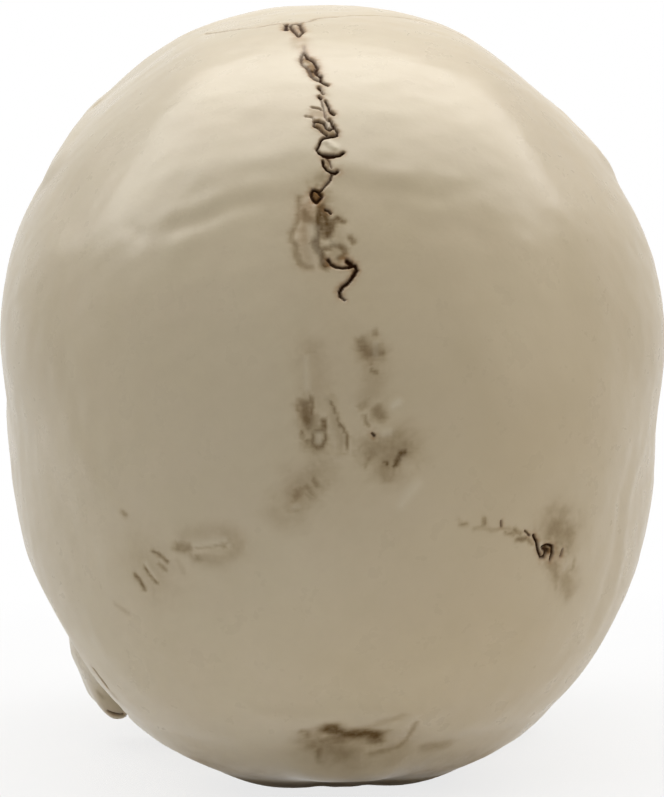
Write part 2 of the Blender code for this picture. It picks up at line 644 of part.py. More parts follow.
def spring_path(top, bottom):
    """The wire of an extension spring in the YZ plane of its two pins, looped round each pin."""
    span = (top-bottom).length
    down = (bottom-top).normalized()
    back = Vector((0, down.z, -down.y))
    across = Vector((1, 0, 0))
    body_length = coil_turns*coil_pitch
    lead = (span-body_length)/2
    axis = top+back*loop_radius

    def at(along, turn, radius):
        return axis+down*along+(back*math.cos(turn)+across*math.sin(turn))*radius

    def around_pin(pin, turn, way):
        return pin+back*loop_radius*math.cos(turn)+down*way*loop_radius*math.sin(turn)

    loop = [math.radians(loop_sweep)*k/loop_points for k in range(loop_points, 0, -1)]
    ease_rise = ease_share*lead
    points = []
    end_turn = loop[0]
    first = around_pin(top, end_turn, -1)
    points.append(first+(back*-math.sin(end_turn)-down*math.cos(end_turn))*2*wire_radius)
    points += [around_pin(top, turn, -1) for turn in loop]
    points.append(axis.copy())
    points.append(axis+down*(lead-ease_rise))
    for k in range(1, ease_points+1):
        share = k/ease_points
        turn = -math.pi*(1-share)*ease_turns
        points.append(at(lead-ease_rise*(1-share), turn, coil_radius*share))
    for k in range(1, coil_turns*curl_points):
        points.append(at(lead+body_length*k/(coil_turns*curl_points), 2*math.pi*k/curl_points, coil_radius))
    for k in range(ease_points+1):
        share = k/ease_points
        turn = math.pi*share*ease_turns
        points.append(at(lead+body_length+ease_rise*share, turn, coil_radius*(1-share)))
    points.append(axis+down*span)
    points += [around_pin(bottom, turn, 1) for turn in loop[::-1]]
    last = around_pin(bottom, end_turn, 1)
    points.append(last+(back*-math.sin(end_turn)+down*math.cos(end_turn))*2*wire_radius)
    return points


def least_gap(points):
    """The least clear distance of the wire to itself, away from its own run."""
    dense = np.array([a.lerp(b, k/6) for a, b in zip(points, points[1:]) for k in range(6)])
    run = np.concatenate(([0], np.cumsum(np.linalg.norm(np.diff(dense, axis=0), axis=1))))
    apart = np.linalg.norm(dense[:, None]-dense[None], axis=2)
    far = abs(run[:, None]-run[None]) > math.pi*coil_radius
    return apart[far].min()-2*wire_radius


def make_spring(name, top, bottom, side):
    points = [mirrored(p, side) for p in spring_path(top, bottom)]
    print(name, "least gap to itself", round(least_gap(points)/mm, 3), "mm")
    curve = bpy.data.curves.new(name, "CURVE")
    curve.dimensions = "3D"
    curve.bevel_depth = wire_radius
    curve.bevel_resolution = 1
    curve.use_fill_caps = True
    line = curve.splines.new("POLY")
    line.points.add(len(points)-1)
    for point, place_at in zip(line.points, points):
        point.co = (*place_at, 1)
    spring = bpy.data.objects.new(name, curve)
    bpy.context.scene.collection.objects.link(spring)
    return spring


def lowest_turned(points, tilt):
    """Height of the lowest point once the skull is tipped back by tilt."""
    return (points[:, 1]*math.sin(tilt)+points[:, 2]*math.cos(tilt)).min()


def standing_tilt(skull, jaw):
    """The tilt at which the nape and the jaw reach equally low."""
    low, high = 0, math.radians(45)
    for step in range(30):
        tilt = (low+high)/2
        if lowest_turned(positions(skull.data), tilt) < lowest_turned(positions(jaw.data), tilt):
            high = tilt
        else:
            low = tilt
    return tilt


def finish_material(name):
    colour, roughness, metallic = finishes[name]
    material = bpy.data.materials.new(name)
    material.use_nodes = True
    shader = material.node_tree.nodes["Principled BSDF"]
    shader.inputs["Base Color"].default_value = (*colour, 1)
    shader.inputs["Roughness"].default_value = roughness
    shader.inputs["Metallic"].default_value = metallic
    return material


def paint(body, finish):
    body.data.materials.clear()
    body.data.materials.append(finish_material(finish))


def build():
    for old in list(bpy.data.objects):
        bpy.data.objects.remove(old, do_unlink=True)
    cranium = make_cranium()
    jaw = make_jaw()

    upper_gum, lower_gum = upper_gum_share*face_drop, lower_gum_share*face_drop
    bite = bite_share*face_drop
    trim(cranium, Vector((-overrun, ridge_start_share*skull_length, -overrun)),
         Vector((overrun, overrun, upper_gum)), "upper_bite")
    ridge_half = ridge_half_share*half_breadth
    trim(jaw, Vector((-ridge_half, ridge_back_share*skull_length, lower_gum)),
         Vector((ridge_half, overrun, overrun)), "lower_bite")
    knuckle_room = bmesh.new()
    room = knuckle_radius+joint_clearance
    swelling(knuckle_room, place(knuckle_share), (knuckle_half_length+joint_clearance, room, room), 0, 0)
    carve(cranium, body_from(knuckle_room, "knuckle_room"))

    tilt = standing_tilt(cranium, jaw)
    floor = lowest_turned(positions(cranium.data), tilt)+resting_flat
    turn = Matrix.Rotation(tilt, 4, "X")
    for body in (cranium, jaw):
        slab = bmesh.new()
        under = Matrix.Translation((0, 0, floor-overrun/2)) @ Matrix.Diagonal((overrun, overrun, overrun, 1))
        bmesh.ops.create_cube(slab, size=1, matrix=turn.inverted() @ under)
        carve(body, body_from(slab, "table"))

    upper = make_teeth("upper", cranium, upper_ridge_shares, [row[1] for row in tooth_width_shares],
                       upper_depth_shares, upper_gum, bite+bite_gap/2, overbite_shares)
    lower = make_teeth("lower", jaw, lower_ridge_shares, [row[2] for row in tooth_width_shares],
                       lower_depth_shares, lower_gum, bite-bite_gap/2, [0]*len(tooth_width_shares))

    screws = {"upper": [], "lower": []}
    springs = []
    top_y, top_z = upper_anchor_share[0]*skull_length, upper_anchor_share[1]*vault_height
    low_y, low_z = lower_anchor_share[0]*skull_length, lower_anchor_share[1]*face_drop
    bone = surface_across(cranium, top_y, top_z, overrun, -1)
    ramus = surface_across(jaw, low_y, low_z, overrun, -1)
    lane = max(bone, ramus)+coil_radius+wire_radius+piece_gap+piece_gap
    for side, side_name in ((1, "right"), (-1, "left")):
        seat = lane+wire_radius+piece_gap
        for jaw_name, body, wall, y, z in (("upper", cranium, bone, top_y, top_z),
                                           ("lower", jaw, ramus, low_y, low_z)):
            name = f"{side_name}_{jaw_name}_spring_screw"
            screws[jaw_name].append(make_screw(name, body, wall, seat, y, z, side))
        springs.append(make_spring(f"{side_name}_jaw_spring", Vector((lane, top_y, top_z)),
                                   Vector((lane, low_y, low_z)), side))

    for body in (cranium, jaw):
        paint(body, "bone")
    for body in upper+lower:
        paint(body, "tooth")
    for body in screws["upper"]+screws["lower"]+springs:
        paint(body, "steel")

    stand = bpy.data.objects.new("stand_frame", None)
    hinge = bpy.data.objects.new("jaw_hinge", None)
    for empty in (stand, hinge):
        bpy.context.scene.collection.objects.link(empty)
    turned = np.concatenate([positions(b.data) for b in (cranium, jaw)])
    forward = turned[:, 1]*math.cos(tilt)-turned[:, 2]*math.sin(tilt)
    stand.rotation_euler = (tilt, 0, 0)
    stand.location = (0, -(forward.min()+forward.max())/2, -floor)
    hinge.parent = stand
    hinge.location = place(jaw_hinge_share)
    for body in [cranium]+upper+screws["upper"]+springs:
        body.parent = stand
    for body in [jaw]+lower+screws["lower"]:
        body.data.transform(Matrix.Translation(-hinge.location))
        body.parent = hinge
    for body in [cranium, jaw]:
        for face in body.data.polygons:
            face.use_smooth = True
    print("tilt", math.degrees(tilt), "floor", floor)


build()
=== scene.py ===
"""Looks of the teaching skull: finer bone and teeth, stained sutures, springs, screws, light and camera.

Shapes are made in the skull's own frame (ear holes on the X axis, +Y to the face, +Z up) and then tipped
back on to the nape and the jaw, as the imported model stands.
"""
import json
import math
import bpy
import bmesh
import numpy as np
from mathutils import Matrix, Vector
from mathutils.bvhtree import BVHTree


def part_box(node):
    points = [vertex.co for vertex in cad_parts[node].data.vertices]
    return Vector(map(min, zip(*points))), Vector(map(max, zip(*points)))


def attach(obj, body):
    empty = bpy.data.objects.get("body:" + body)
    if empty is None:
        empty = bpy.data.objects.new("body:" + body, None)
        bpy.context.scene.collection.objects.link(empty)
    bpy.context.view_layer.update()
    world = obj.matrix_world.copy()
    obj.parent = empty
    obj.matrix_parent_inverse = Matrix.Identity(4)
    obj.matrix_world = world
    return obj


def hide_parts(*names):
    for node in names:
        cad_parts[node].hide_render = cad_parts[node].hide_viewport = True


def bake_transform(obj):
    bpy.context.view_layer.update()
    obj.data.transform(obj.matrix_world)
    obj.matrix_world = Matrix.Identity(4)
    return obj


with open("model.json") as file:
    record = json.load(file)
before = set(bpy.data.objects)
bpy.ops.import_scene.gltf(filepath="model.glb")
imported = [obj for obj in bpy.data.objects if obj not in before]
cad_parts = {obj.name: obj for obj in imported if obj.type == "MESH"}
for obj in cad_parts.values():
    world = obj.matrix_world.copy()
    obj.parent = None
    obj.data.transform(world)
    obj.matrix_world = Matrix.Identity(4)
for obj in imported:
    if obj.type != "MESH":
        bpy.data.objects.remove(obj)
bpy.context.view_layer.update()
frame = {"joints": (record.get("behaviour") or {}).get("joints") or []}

# Driving sizes of the skull, in metres
mm = 0.001
skull_length = 0.178        # brow to the back of the head
skull_breadth = 0.134       # across the side bones
vault_height = 0.126        # ear holes up to the crown
face_drop = 0.079           # ear holes down to the chin
shell_wall = 0.0055         # the braincase's own thickness
coarse_grain = 0.003        # first skin, for broad blends
fine_grain = 0.0017         # second skin, with the openings cut
piece_gap = 0.0003          # between pieces that meet
overrun = 0.3               # how far cutters reach past what they cut

# Openings of the cranium
orbit_width = 0.0385
orbit_height = 0.0335
nose_width = 0.0228
nose_low_height = 0.019
nose_passage_width = 0.0105
nose_high_width = 0.0114
nose_high_height = 0.0157
neck_hole_width = 0.0285
neck_hole_length = 0.0335
ear_hole_width = 0.0078

# Half the depth of each bar of bone at its fullest
brow_end_girth = 0.0061
outer_rim_girth = 0.0082
lower_rim_girth = 0.005
nose_side_girth = 0.0061
nose_bridge_girth = 0.0064
skull_keel_girth = 0.0134
wing_plate_girth = 0.008
cheek_arch_girth = 0.0085
mastoid_girth = 0.0117
stylus_girth = 0.0036
upper_ridge_girth = 0.0093
lower_ridge_girth = 0.0089
jaw_body_girth = 0.0132
ramus_girth = 0.0142
jaw_neck_girth = 0.0064
coronoid_girth = 0.0085
knuckle_half_length = 0.0093
knuckle_radius = 0.0046

# Jaw springs and their screws
wire_radius = 0.00045
coil_radius = 0.0022        # to the middle of the wire
coil_pitch = 0.0017
loop_radius = 0.0024        # of the spring's end loops, to the middle of the wire
pin_radius = 0.0013         # shank of a spring screw
screw_head_radius = 0.0028
screw_head_height = 0.0016
slot_width = 0.0007
slot_depth = 0.0008
joint_clearance = 0.0007    # round the jaw's knuckles
bite_gap = 0.0005           # between the upper and lower back teeth

# Counts
coil_turns = 10
curl_points = 30            # of the wire in one turn
vault_around, vault_across = 192, 88
fine_tooth_sides = 40
clay_evenings = 6           # rounds of relaxing the clay, then the finer skin, the jaw and its cut
late_evenings = 14
jaw_evenings = 8
cut_evenings = 5

half_breadth = skull_breadth/2

# Places are (across, forward, up) shares: of half the breadth, of the length, and of the vault height
# above the ear holes or the face drop below them. Radii are shares of the length.
vault_midline_shares = (
    (0.43, 0.235), (0.468, 0.33), (0.464, 0.487), (0.412, 0.706), (0.285, 0.882), (0.08, 0.985),
    (-0.108, 1.004), (-0.28, 0.935), (-0.419, 0.756), (-0.497, 0.538), (-0.529, 0.303), (-0.513, 0.118),
    (-0.46, -0.05), (-0.376, -0.19), (-0.269, -0.253), (-0.108, -0.24), (0.054, -0.12), (0.215, 0.01),
    (0.35, 0.11))
vault_pole_share = (-0.12, 0.42)
vault_squareness_shares = (
    (0, 2.1), (60, 2.2), (90, 2.35), (130, 2.3), (180, 2.2), (225, 2.4), (270, 2.9), (315, 2.4))
# The floor of the brain space, from the brow back to the nape
floor_shares = (
    (0.44, 0.43), (0.4, 0.4), (0.25, 0.33), (0.12, 0.2), (0.03, 0.06), (-0.08, -0.11), (-0.215, -0.14),
    (-0.34, -0.09), (-0.44, 0))

# Swellings: middle, half sizes, turn about X and Z in degrees; those off the middle come in pairs
swelling_shares = {
    "brow": ((0.25, 0.448, 0.303), (0.091, 0.045, 0.038), 0, 12),
    "glabella": ((0, 0.456, 0.303), (0.054, 0.034, 0.048), 0, 0),
    "cheek_wall": ((0.36, 0.366, -0.203), (0.084, 0.078, 0.1), 0, 0),
    "cheek_bone": ((0.7, 0.333, -0.127), (0.05, 0.045, 0.062), 0, 30),
    "nose_floor": ((0, 0.425, -0.304), (0.078, 0.045, 0.045), 0, 0),
    "palate": ((0, 0.312, -0.329), (0.14, 0.14, 0.03), 0, 0),
    "middle_mass": ((0, 0.25, 0.1), (0.088, 0.17, 0.095), 0, 0),
    "great_wing": ((0.55, 0.28, 0.151), (0.072, 0.086, 0.1), 0, 0),
    "ear_root": ((0.8, -0.03, 0.05), (0.045, 0.078, 0.045), 0, 0),
    "base_side": ((0.5, -0.075, -0.115), (0.12, 0.08, 0.05), 0, 0),
    "base_back": ((0.55, -0.161, -0.1), (0.097, 0.108, 0.06), 0, 0),
    "neck_knuckle": ((0.25, -0.04, -0.278), (0.027, 0.05, 0.028), 0, -25),
    "nape_knob": ((0, -0.482, 0.02), (0.06, 0.02, 0.026), 0, 0),
    "root_wall": ((0.28, 0.4, -0.3), (0.074, 0.054, 0.062), 0, 0)}

# Bars of bone: girth, places with a share of it each, the flatness, and the way that the girth lies
bar_shares = {
    "brow_end": (brow_end_girth, ((0.3, 0.452, 0.31, 1), (0.57, 0.422, 0.328, 0.97),
        (0.72, 0.37, 0.303, 0.94), (0.765, 0.339, 0.235, 0.88)), 0.9, (0, 0, 1)),
    "outer_rim": (outer_rim_girth, ((0.765, 0.339, 0.235, 0.65), (0.78, 0.325, 0.1, 0.65),
        (0.75, 0.33, -0.03, 0.78), (0.68, 0.35, -0.18, 1)), 0.85, (0, 1, 0)),
    "lower_rim": (lower_rim_girth, ((0.7, 0.36, -0.06, 1), (0.5, 0.412, -0.01, 0.93),
        (0.33, 0.43, 0.04, 0.93), (0.22, 0.441, 0.11, 1)), 1, (0, 0, 1)),
    "nose_side": (nose_side_girth, ((0.3, 0.4, -0.18, 1), (0.23, 0.438, 0.034, 0.82),
        (0.15, 0.45, 0.168, 0.76), (0.13, 0.446, 0.26, 0.94)), 1, (1, 0, 0)),
    "nose_bridge": (nose_bridge_girth, ((0, 0.43, 0.245, 1), (0, 0.47, 0.165, 0.89),
        (0, 0.494, 0.115, 0.72)), 0.8, (1, 0, 0)),
    "skull_keel": (skull_keel_girth, ((0, 0.16, 0, 1), (0, 0.045, -0.15, 0.8), (0, -0.016, -0.253, 0.64)),
        0.7, (1, 0, 0)),
    "wing_plate": (wing_plate_girth, ((0.18, 0.165, -0.08, 1), (0.19, 0.15, -0.28, 0.89),
        (0.21, 0.14, -0.43, 0.67)), 0.45, (0, 1, 0)),
    "cheek_arch": (cheek_arch_girth, ((0.69, 0.333, -0.127, 1), (0.84, 0.272, -0.1, 0.75),
        (0.94, 0.19, -0.038, 0.54), (0.97, 0.108, 0.01, 0.5), (0.94, 0.04, 0.034, 0.54),
        (0.85, -0.015, 0.045, 0.71)), 0.62, (0, 0, 1)),
    "mastoid": (mastoid_girth, ((0.77, -0.095, 0.034, 1), (0.757, -0.08, -0.16, 0.86),
        (0.745, -0.066, -0.375, 0.5)), 0.78, (0, 1, 0)),
    "stylus": (stylus_girth, ((0.54, -0.01, -0.17, 1), (0.51, 0.006, -0.29, 0.75),
        (0.48, 0.024, -0.4, 0.55)), 1, (1, 0, 0))}

# The upper tooth ridge, as a horseshoe on each side of the middle
upper_ridge_shares = (
    (0, 0.448, -0.4), (0.17, 0.44, -0.4), (0.31, 0.4, -0.4), (0.4, 0.335, -0.4), (0.46, 0.262, -0.39),
    (0.48, 0.215, -0.37))
upper_ridge_flatness_share = 0.72

# Hollows: places, each with its shares of the hollow's width and height
orbit_shares = (
    (0.56, 0.54, 0.18, 1, 1), (0.52, 0.446, 0.185, 0.98, 0.98), (0.4, 0.34, 0.19, 0.8, 0.85),
    (0.26, 0.25, 0.18, 0.46, 0.53), (0.17, 0.205, 0.17, 0.19, 0.21))
orbit_squareness_share = 2.5
nose_squareness_share = 2.3
squareness_blend = 0.42     # radians over which one squareness runs into the next
pole_angle = 0.02
nose_low_shares = ((0, 0.58, -0.13, 1, 0.94), (0, 0.43, -0.135, 1, 0.94), (0, 0.395, -0.135, 0.94, 0.9))
# Behind the front of the nose a wall of bone parts it into two passages
nose_passage_shares = (
    (0.108, 0.41, -0.135, 1, 0.92), (0.108, 0.3, -0.13, 1, 1.03), (0.112, 0.1, -0.13, 1, 1.12))
nose_high_shares = ((0, 0.58, 0, 1, 1), (0, 0.44, 0, 1, 1), (0, 0.3, 0.01, 0.81, 0.91))
neck_hole_shares = ((0, -0.14, -0.6, 1, 1), (0, -0.11, -0.2, 1, 1), (0, -0.1, 0.1, 0.95, 0.94))
ear_hole_shares = ((1.1, 0.004, 0.02, 1, 1), (0.86, 0.004, 0.01, 0.91, 1), (0.66, 0.014, 0, 0.73, 0.73))

# Worked strokes on the skin: name, path, reach share, push share (out is positive)
stroke_shares = (
    ("temple", ((0.8, 0.24, 0.25), (0.85, 0.18, 0.1)), 0.15, -0.016),
    ("temple_line", ((0.66, 0.375, 0.42), (0.66, 0.3, 0.62), (0.72, 0.12, 0.78), (0.82, -0.08, 0.78)), 0.04,
     0.005),
    ("nape_line", ((0, -0.49, -0.02), (0.25, -0.47, 0), (0.5, -0.4, -0.02), (0.72, -0.26, -0.02)), 0.05,
     0.006),
    ("lower_nape_line", ((0, -0.34, -0.22), (0.25, -0.32, -0.21), (0.45, -0.25, -0.2)), 0.035, 0.004),
    ("nape_crest", ((0, -0.47, -0.08), (0, -0.33, -0.23), (0, -0.23, -0.26)), 0.028, 0.005),
    ("canine_hollow", ((0.4, 0.44, -0.2),), 0.06, -0.012),
    ("side_bulge", ((0.9, -0.05, 0.6), (0.92, -0.22, 0.6)), 0.15, 0.011),
    ("side_slope", ((0.62, 0.02, 0.9), (0.66, -0.2, 0.85)), 0.12, -0.008),
    ("side_foot", ((0.87, -0.03, 0.03), (0.84, -0.28, 0.05)), 0.13, -0.019),
    ("nape_lobe", ((0.2, -0.425, -0.16),), 0.12, 0.013),
    ("nape_corner", ((0.62, -0.33, -0.06),), 0.13, -0.006),
    ("ear_bulge", ((0.95, -0.1, 0.36),), 0.1, 0.005), ("brow_furrow", ((0.35, 0.46, 0.44),), 0.11, -0.006))

# Lower jaw
jaw_hinge_share = (0, 0.065, -0.05)
knuckle_share = (0.74, 0.065, -0.05)
jaw_swelling_shares = {
    "chin": ((0, 0.418, -0.91), (0.072, 0.034, 0.042), 0, 0),
    "chin_corner": ((0.2, 0.398, -0.925), (0.052, 0.031, 0.033), 0, 0)}
jaw_bar_shares = {
    "body": (jaw_body_girth, ((0, 0.395, -0.835, 1), (0.21, 0.38, -0.835, 0.95), (0.39, 0.325, -0.8, 0.89),
        (0.52, 0.24, -0.73, 0.84), (0.6, 0.15, -0.63, 0.81), (0.635, 0.085, -0.54, 0.68)), 0.46, (0, 0, 1)),
    "ramus": (ramus_girth, ((0.64, 0.112, -0.55, 0.98), (0.69, 0.124, -0.4, 1), (0.715, 0.126, -0.24, 0.85)),
        0.28, (0, 1, 0)),
    "neck": (jaw_neck_girth, ((0.715, 0.095, -0.3, 1), (0.735, 0.077, -0.18, 0.69),
        (0.74, 0.065, -0.09, 0.69)), 0.8, (0, 1, 0)),
    "coronoid": (coronoid_girth, ((0.71, 0.15, -0.3, 1), (0.705, 0.185, -0.13, 0.71), (0.7, 0.2, 0, 0.38)),
        0.5, (0, 1, 0))}
lower_ridge_shares = (
    (0, 0.424, -0.72), (0.175, 0.412, -0.72), (0.29, 0.368, -0.72), (0.37, 0.307, -0.72),
    (0.42, 0.237, -0.71), (0.445, 0.175, -0.69))
lower_ridge_flatness_share = 0.66

# Teeth, from the middle back: shares of the ridge's length in each jaw, then depth to width
tooth_width_shares = (
    ("central_incisor", 8.4, 5.6), ("lateral_incisor", 6.8, 6.1), ("canine", 7.6, 7),
    ("first_premolar", 7.1, 7), ("second_premolar", 6.9, 7.1), ("first_molar", 10.2, 10.8),
    ("second_molar", 9.6, 10.2), ("third_molar", 8.6, 9.4))
upper_depth_shares = (0.82, 0.88, 1.02, 1.24, 1.28, 1.04, 1.06, 1.04)
lower_depth_shares = (1.02, 1, 1.06, 1.1, 1.14, 0.94, 0.94, 0.94)
upper_gum_share = -0.47
lower_gum_share = -0.672
bite_share = -0.572
overbite_shares = (0.018, 0.014, 0.018, 0, 0, 0, 0, 0)
# Crowns from the neck to the edge: height, width and depth shares
crown_shares = {
    "incisor": ((0, 0.76, 0.84), (0.34, 0.9, 1), (0.72, 0.97, 0.66), (1, 0.94, 0.3)),
    "canine": ((0, 0.78, 0.84), (0.4, 0.98, 1), (0.74, 0.84, 0.72), (1, 0.26, 0.26)),
    "premolar": ((0, 0.8, 0.86), (0.45, 0.98, 1), (0.84, 0.9, 0.86), (1, 0.62, 0.58)),
    "molar": ((0, 0.84, 0.88), (0.45, 0.98, 1), (0.84, 0.94, 0.92), (1, 0.76, 0.72))}
tooth_squareness_share = 2.7
# Below the neck: height in metres, width and depth shares. Then how far the rings of the top draw in.
root_rings = ((-0.0022, 0.8, 0.8), (-0.0008, 0.9, 0.92))
top_rings = (0.93, 0.8, 0.62, 0.42, 0.2)
# Depth in metres and width of the fissures along and across the row, and the depth of the pit where they meet
fissures = {"molar": ((0.0009, 0.16), (0.0008, 0.18), 0.0002), "premolar": ((0, 1), (0.001, 0.22), 0)}
deepest_fissure = 0.0013
edge_round = 0.0001
dark_neck_share = 0.35

ridge_start_share = 0.17    # the upper bite is trimmed from here forward
ridge_back_share = 0.13     # the lower bite is trimmed from here forward
ridge_half_share = 0.585    # and this far to each side

# Springs and screws
screw_sides = 48
screw_tip_share = 0.55      # of the shank's radius
screw_chamfer = 0.0006
head_foot_share = 0.94      # of the head's radius
head_bevel = 0.0001
head_rim = 0.0005           # below the dome
dome_angles = (0, 15, 30, 45, 60, 75, 86)
dome_power = 0.8
sharp_angle = math.radians(38)
loop_sweep = 235
loop_points = 26
ease_points = 18
ease_turns = 1.3
ease_share = 0.45

# The photograph's camera, in the skull's frame
image_width, image_height = 664, 797
camera_distance = 0.45
camera_azimuth = math.radians(4.02)
camera_elevation = math.radians(25.44)
camera_roll = math.radians(-0.925)
focal_pixels = 2057
centre_pixel = (325.2, 381.3)
camera_target = Vector((0, -0.005, 0.045))
film_width = 36             # mm

# Marks on the bone, in pixels of the photograph: half width, strength, then x and y of each
# point. First the sutures and cracks, then the stains, the paler places and the pinker ones.
dark_marks = (
    (1.5, 1, 286, 21, 286, 27),
    (1.4, 0.9, 289, 22, 293, 21, 299.5, 20.5, 301, 25, 303, 28.6, 298.5, 33, 294, 28, 291, 24, 290, 22),
    (0.8, 0.55, 300, 19.5, 308, 18.5, 312, 17, 316, 15.5, 325, 13.8, 338, 12.8),
    (0.8, 0.3, 338, 12.8, 353, 11.6, 380, 11.6, 400, 13.5, 420, 17, 440, 23, 455, 29),
    (1.4, 0.8, 460, 31.5, 465, 34), (0.8, 0.3, 205, 30, 225, 27.5, 240, 25.5, 256, 24),
    (0.8, 0.5, 258, 23.5, 270, 21.5, 283, 20, 288, 22), (1, 0.4, 304, 42, 304, 48.5),
    (1.5, 0.75, 304, 48, 301.5, 52, 300.8, 57, 302.3, 61.4, 306.8, 64.1, 310, 68.6, 311.4, 72.7, 315, 75.9,
     319, 77.7),
    (1.7, 0.95, 304.5, 49.5, 307.7, 54.5, 311.4, 55.9, 314, 58.2, 317.3, 64.1, 315.5, 67.7, 317.5, 71, 320.5,
     73),
    (1.2, 0.75, 302.3, 61, 310.5, 67.7, 315.5, 67.7), (1.6, 1, 320.9, 72.3, 320.6, 77.5),
    (1.6, 1, 321.4, 78.6, 327.7, 82.3), (1.6, 1, 318.8, 84.4, 320, 86.5), (1.3, 0.8, 320, 86.5, 323, 91),
    (1.6, 1, 319, 93.8, 320.4, 95.5),
    (1, 0.65, 320.4, 95.5, 321.8, 100, 324, 108.2, 325, 114.5, 327.7, 119),
    (1.3, 0.95, 325.5, 98, 328.4, 104, 330, 108.4), (1.7, 1, 329.5, 108, 333.8, 112),
    (1, 0.6, 311.6, 105, 315, 105.5, 319.5, 106.4, 322, 108), (1, 0.45, 305, 114, 311.4, 115, 314.5, 119),
    (1.4, 0.9, 314, 119.5, 318.6, 119.3, 324, 121, 326, 126, 329.5, 128, 333, 125.5, 331.4, 120, 329, 117),
    (1.2, 0.85, 314, 119.5, 313.8, 123.8, 319.5, 127.3, 324, 131.4, 327, 133),
    (1.6, 1, 333, 123, 334.5, 125, 337.3, 130, 336.6, 133.2, 329.5, 134.6, 323.2, 136.4),
    (1.5, 1, 323.2, 136.2, 320.5, 139, 318.4, 144.5, 316.6, 148, 319.5, 151.6, 326, 154),
    (2.3, 1, 324, 153.5, 328, 154.6, 333.2, 154.4), (1.7, 1, 333, 154.5, 339.5, 153.2, 343.2, 150.8),
    (0.9, 0.55, 326, 156.4, 329.5, 160, 331.4, 166.4),
    (1.4, 1, 322.7, 159, 323.4, 163.6, 326.8, 168.2, 331.4, 170.4),
    (2, 1, 331.4, 170.4, 335, 171, 337.4, 169.8),
    (1.4, 0.85, 331.8, 172.7, 330, 178.2, 326, 182.7, 321.4, 188.2, 318.6, 190),
    (1.7, 0.95, 313, 188, 311.4, 191, 311.4, 194.6, 313.2, 198.2, 316.4, 200.5, 319.5, 197.3, 321.8, 195,
     318.6, 190, 314, 187.7),
    (1.5, 0.8, 325.5, 208, 328, 208.8, 330.5, 211.5),
    (1.7, 0.9, 328, 258.5, 331, 263, 336, 266, 343, 267, 349, 266), (2.6, 1, 347.5, 260, 351.5, 264),
    (2.1, 1, 349, 266, 355, 264.5, 356.8, 269, 354, 274, 349, 281, 343, 286, 339.5, 291, 340.3, 295.5),
    (1.5, 0.8, 340.3, 295.5, 345, 299.5), (1.2, 0.6, 501, 522, 501, 527),
    (1.2, 0.75, 525, 532, 529.3, 536.5),
    (1.6, 1, 534, 537, 537, 543, 538.8, 551.4, 541.4, 559.3, 545, 558.6, 546.6, 553),
    (1.6, 1, 543, 549, 548.6, 546.8, 553.6, 548, 553.8, 555.7, 551.4, 562),
    (2, 0.9, 544, 551, 549, 552, 546, 556), (1.2, 0.6, 563.6, 551, 561.4, 558),
    # The last two rows, from 93.5, 671.7 on, are painted shade at the mastoid: a dark line where the back of
    # the skull passes in front of it, and a painted shadow under it.
    (1.6, 0.8, 372.5, 434, 374.5, 436), (1, 0.45, 93.5, 671.7, 101, 682, 107, 690),
    (1.3, 0.85, 107, 714, 112, 716.5, 119, 718, 127, 718))

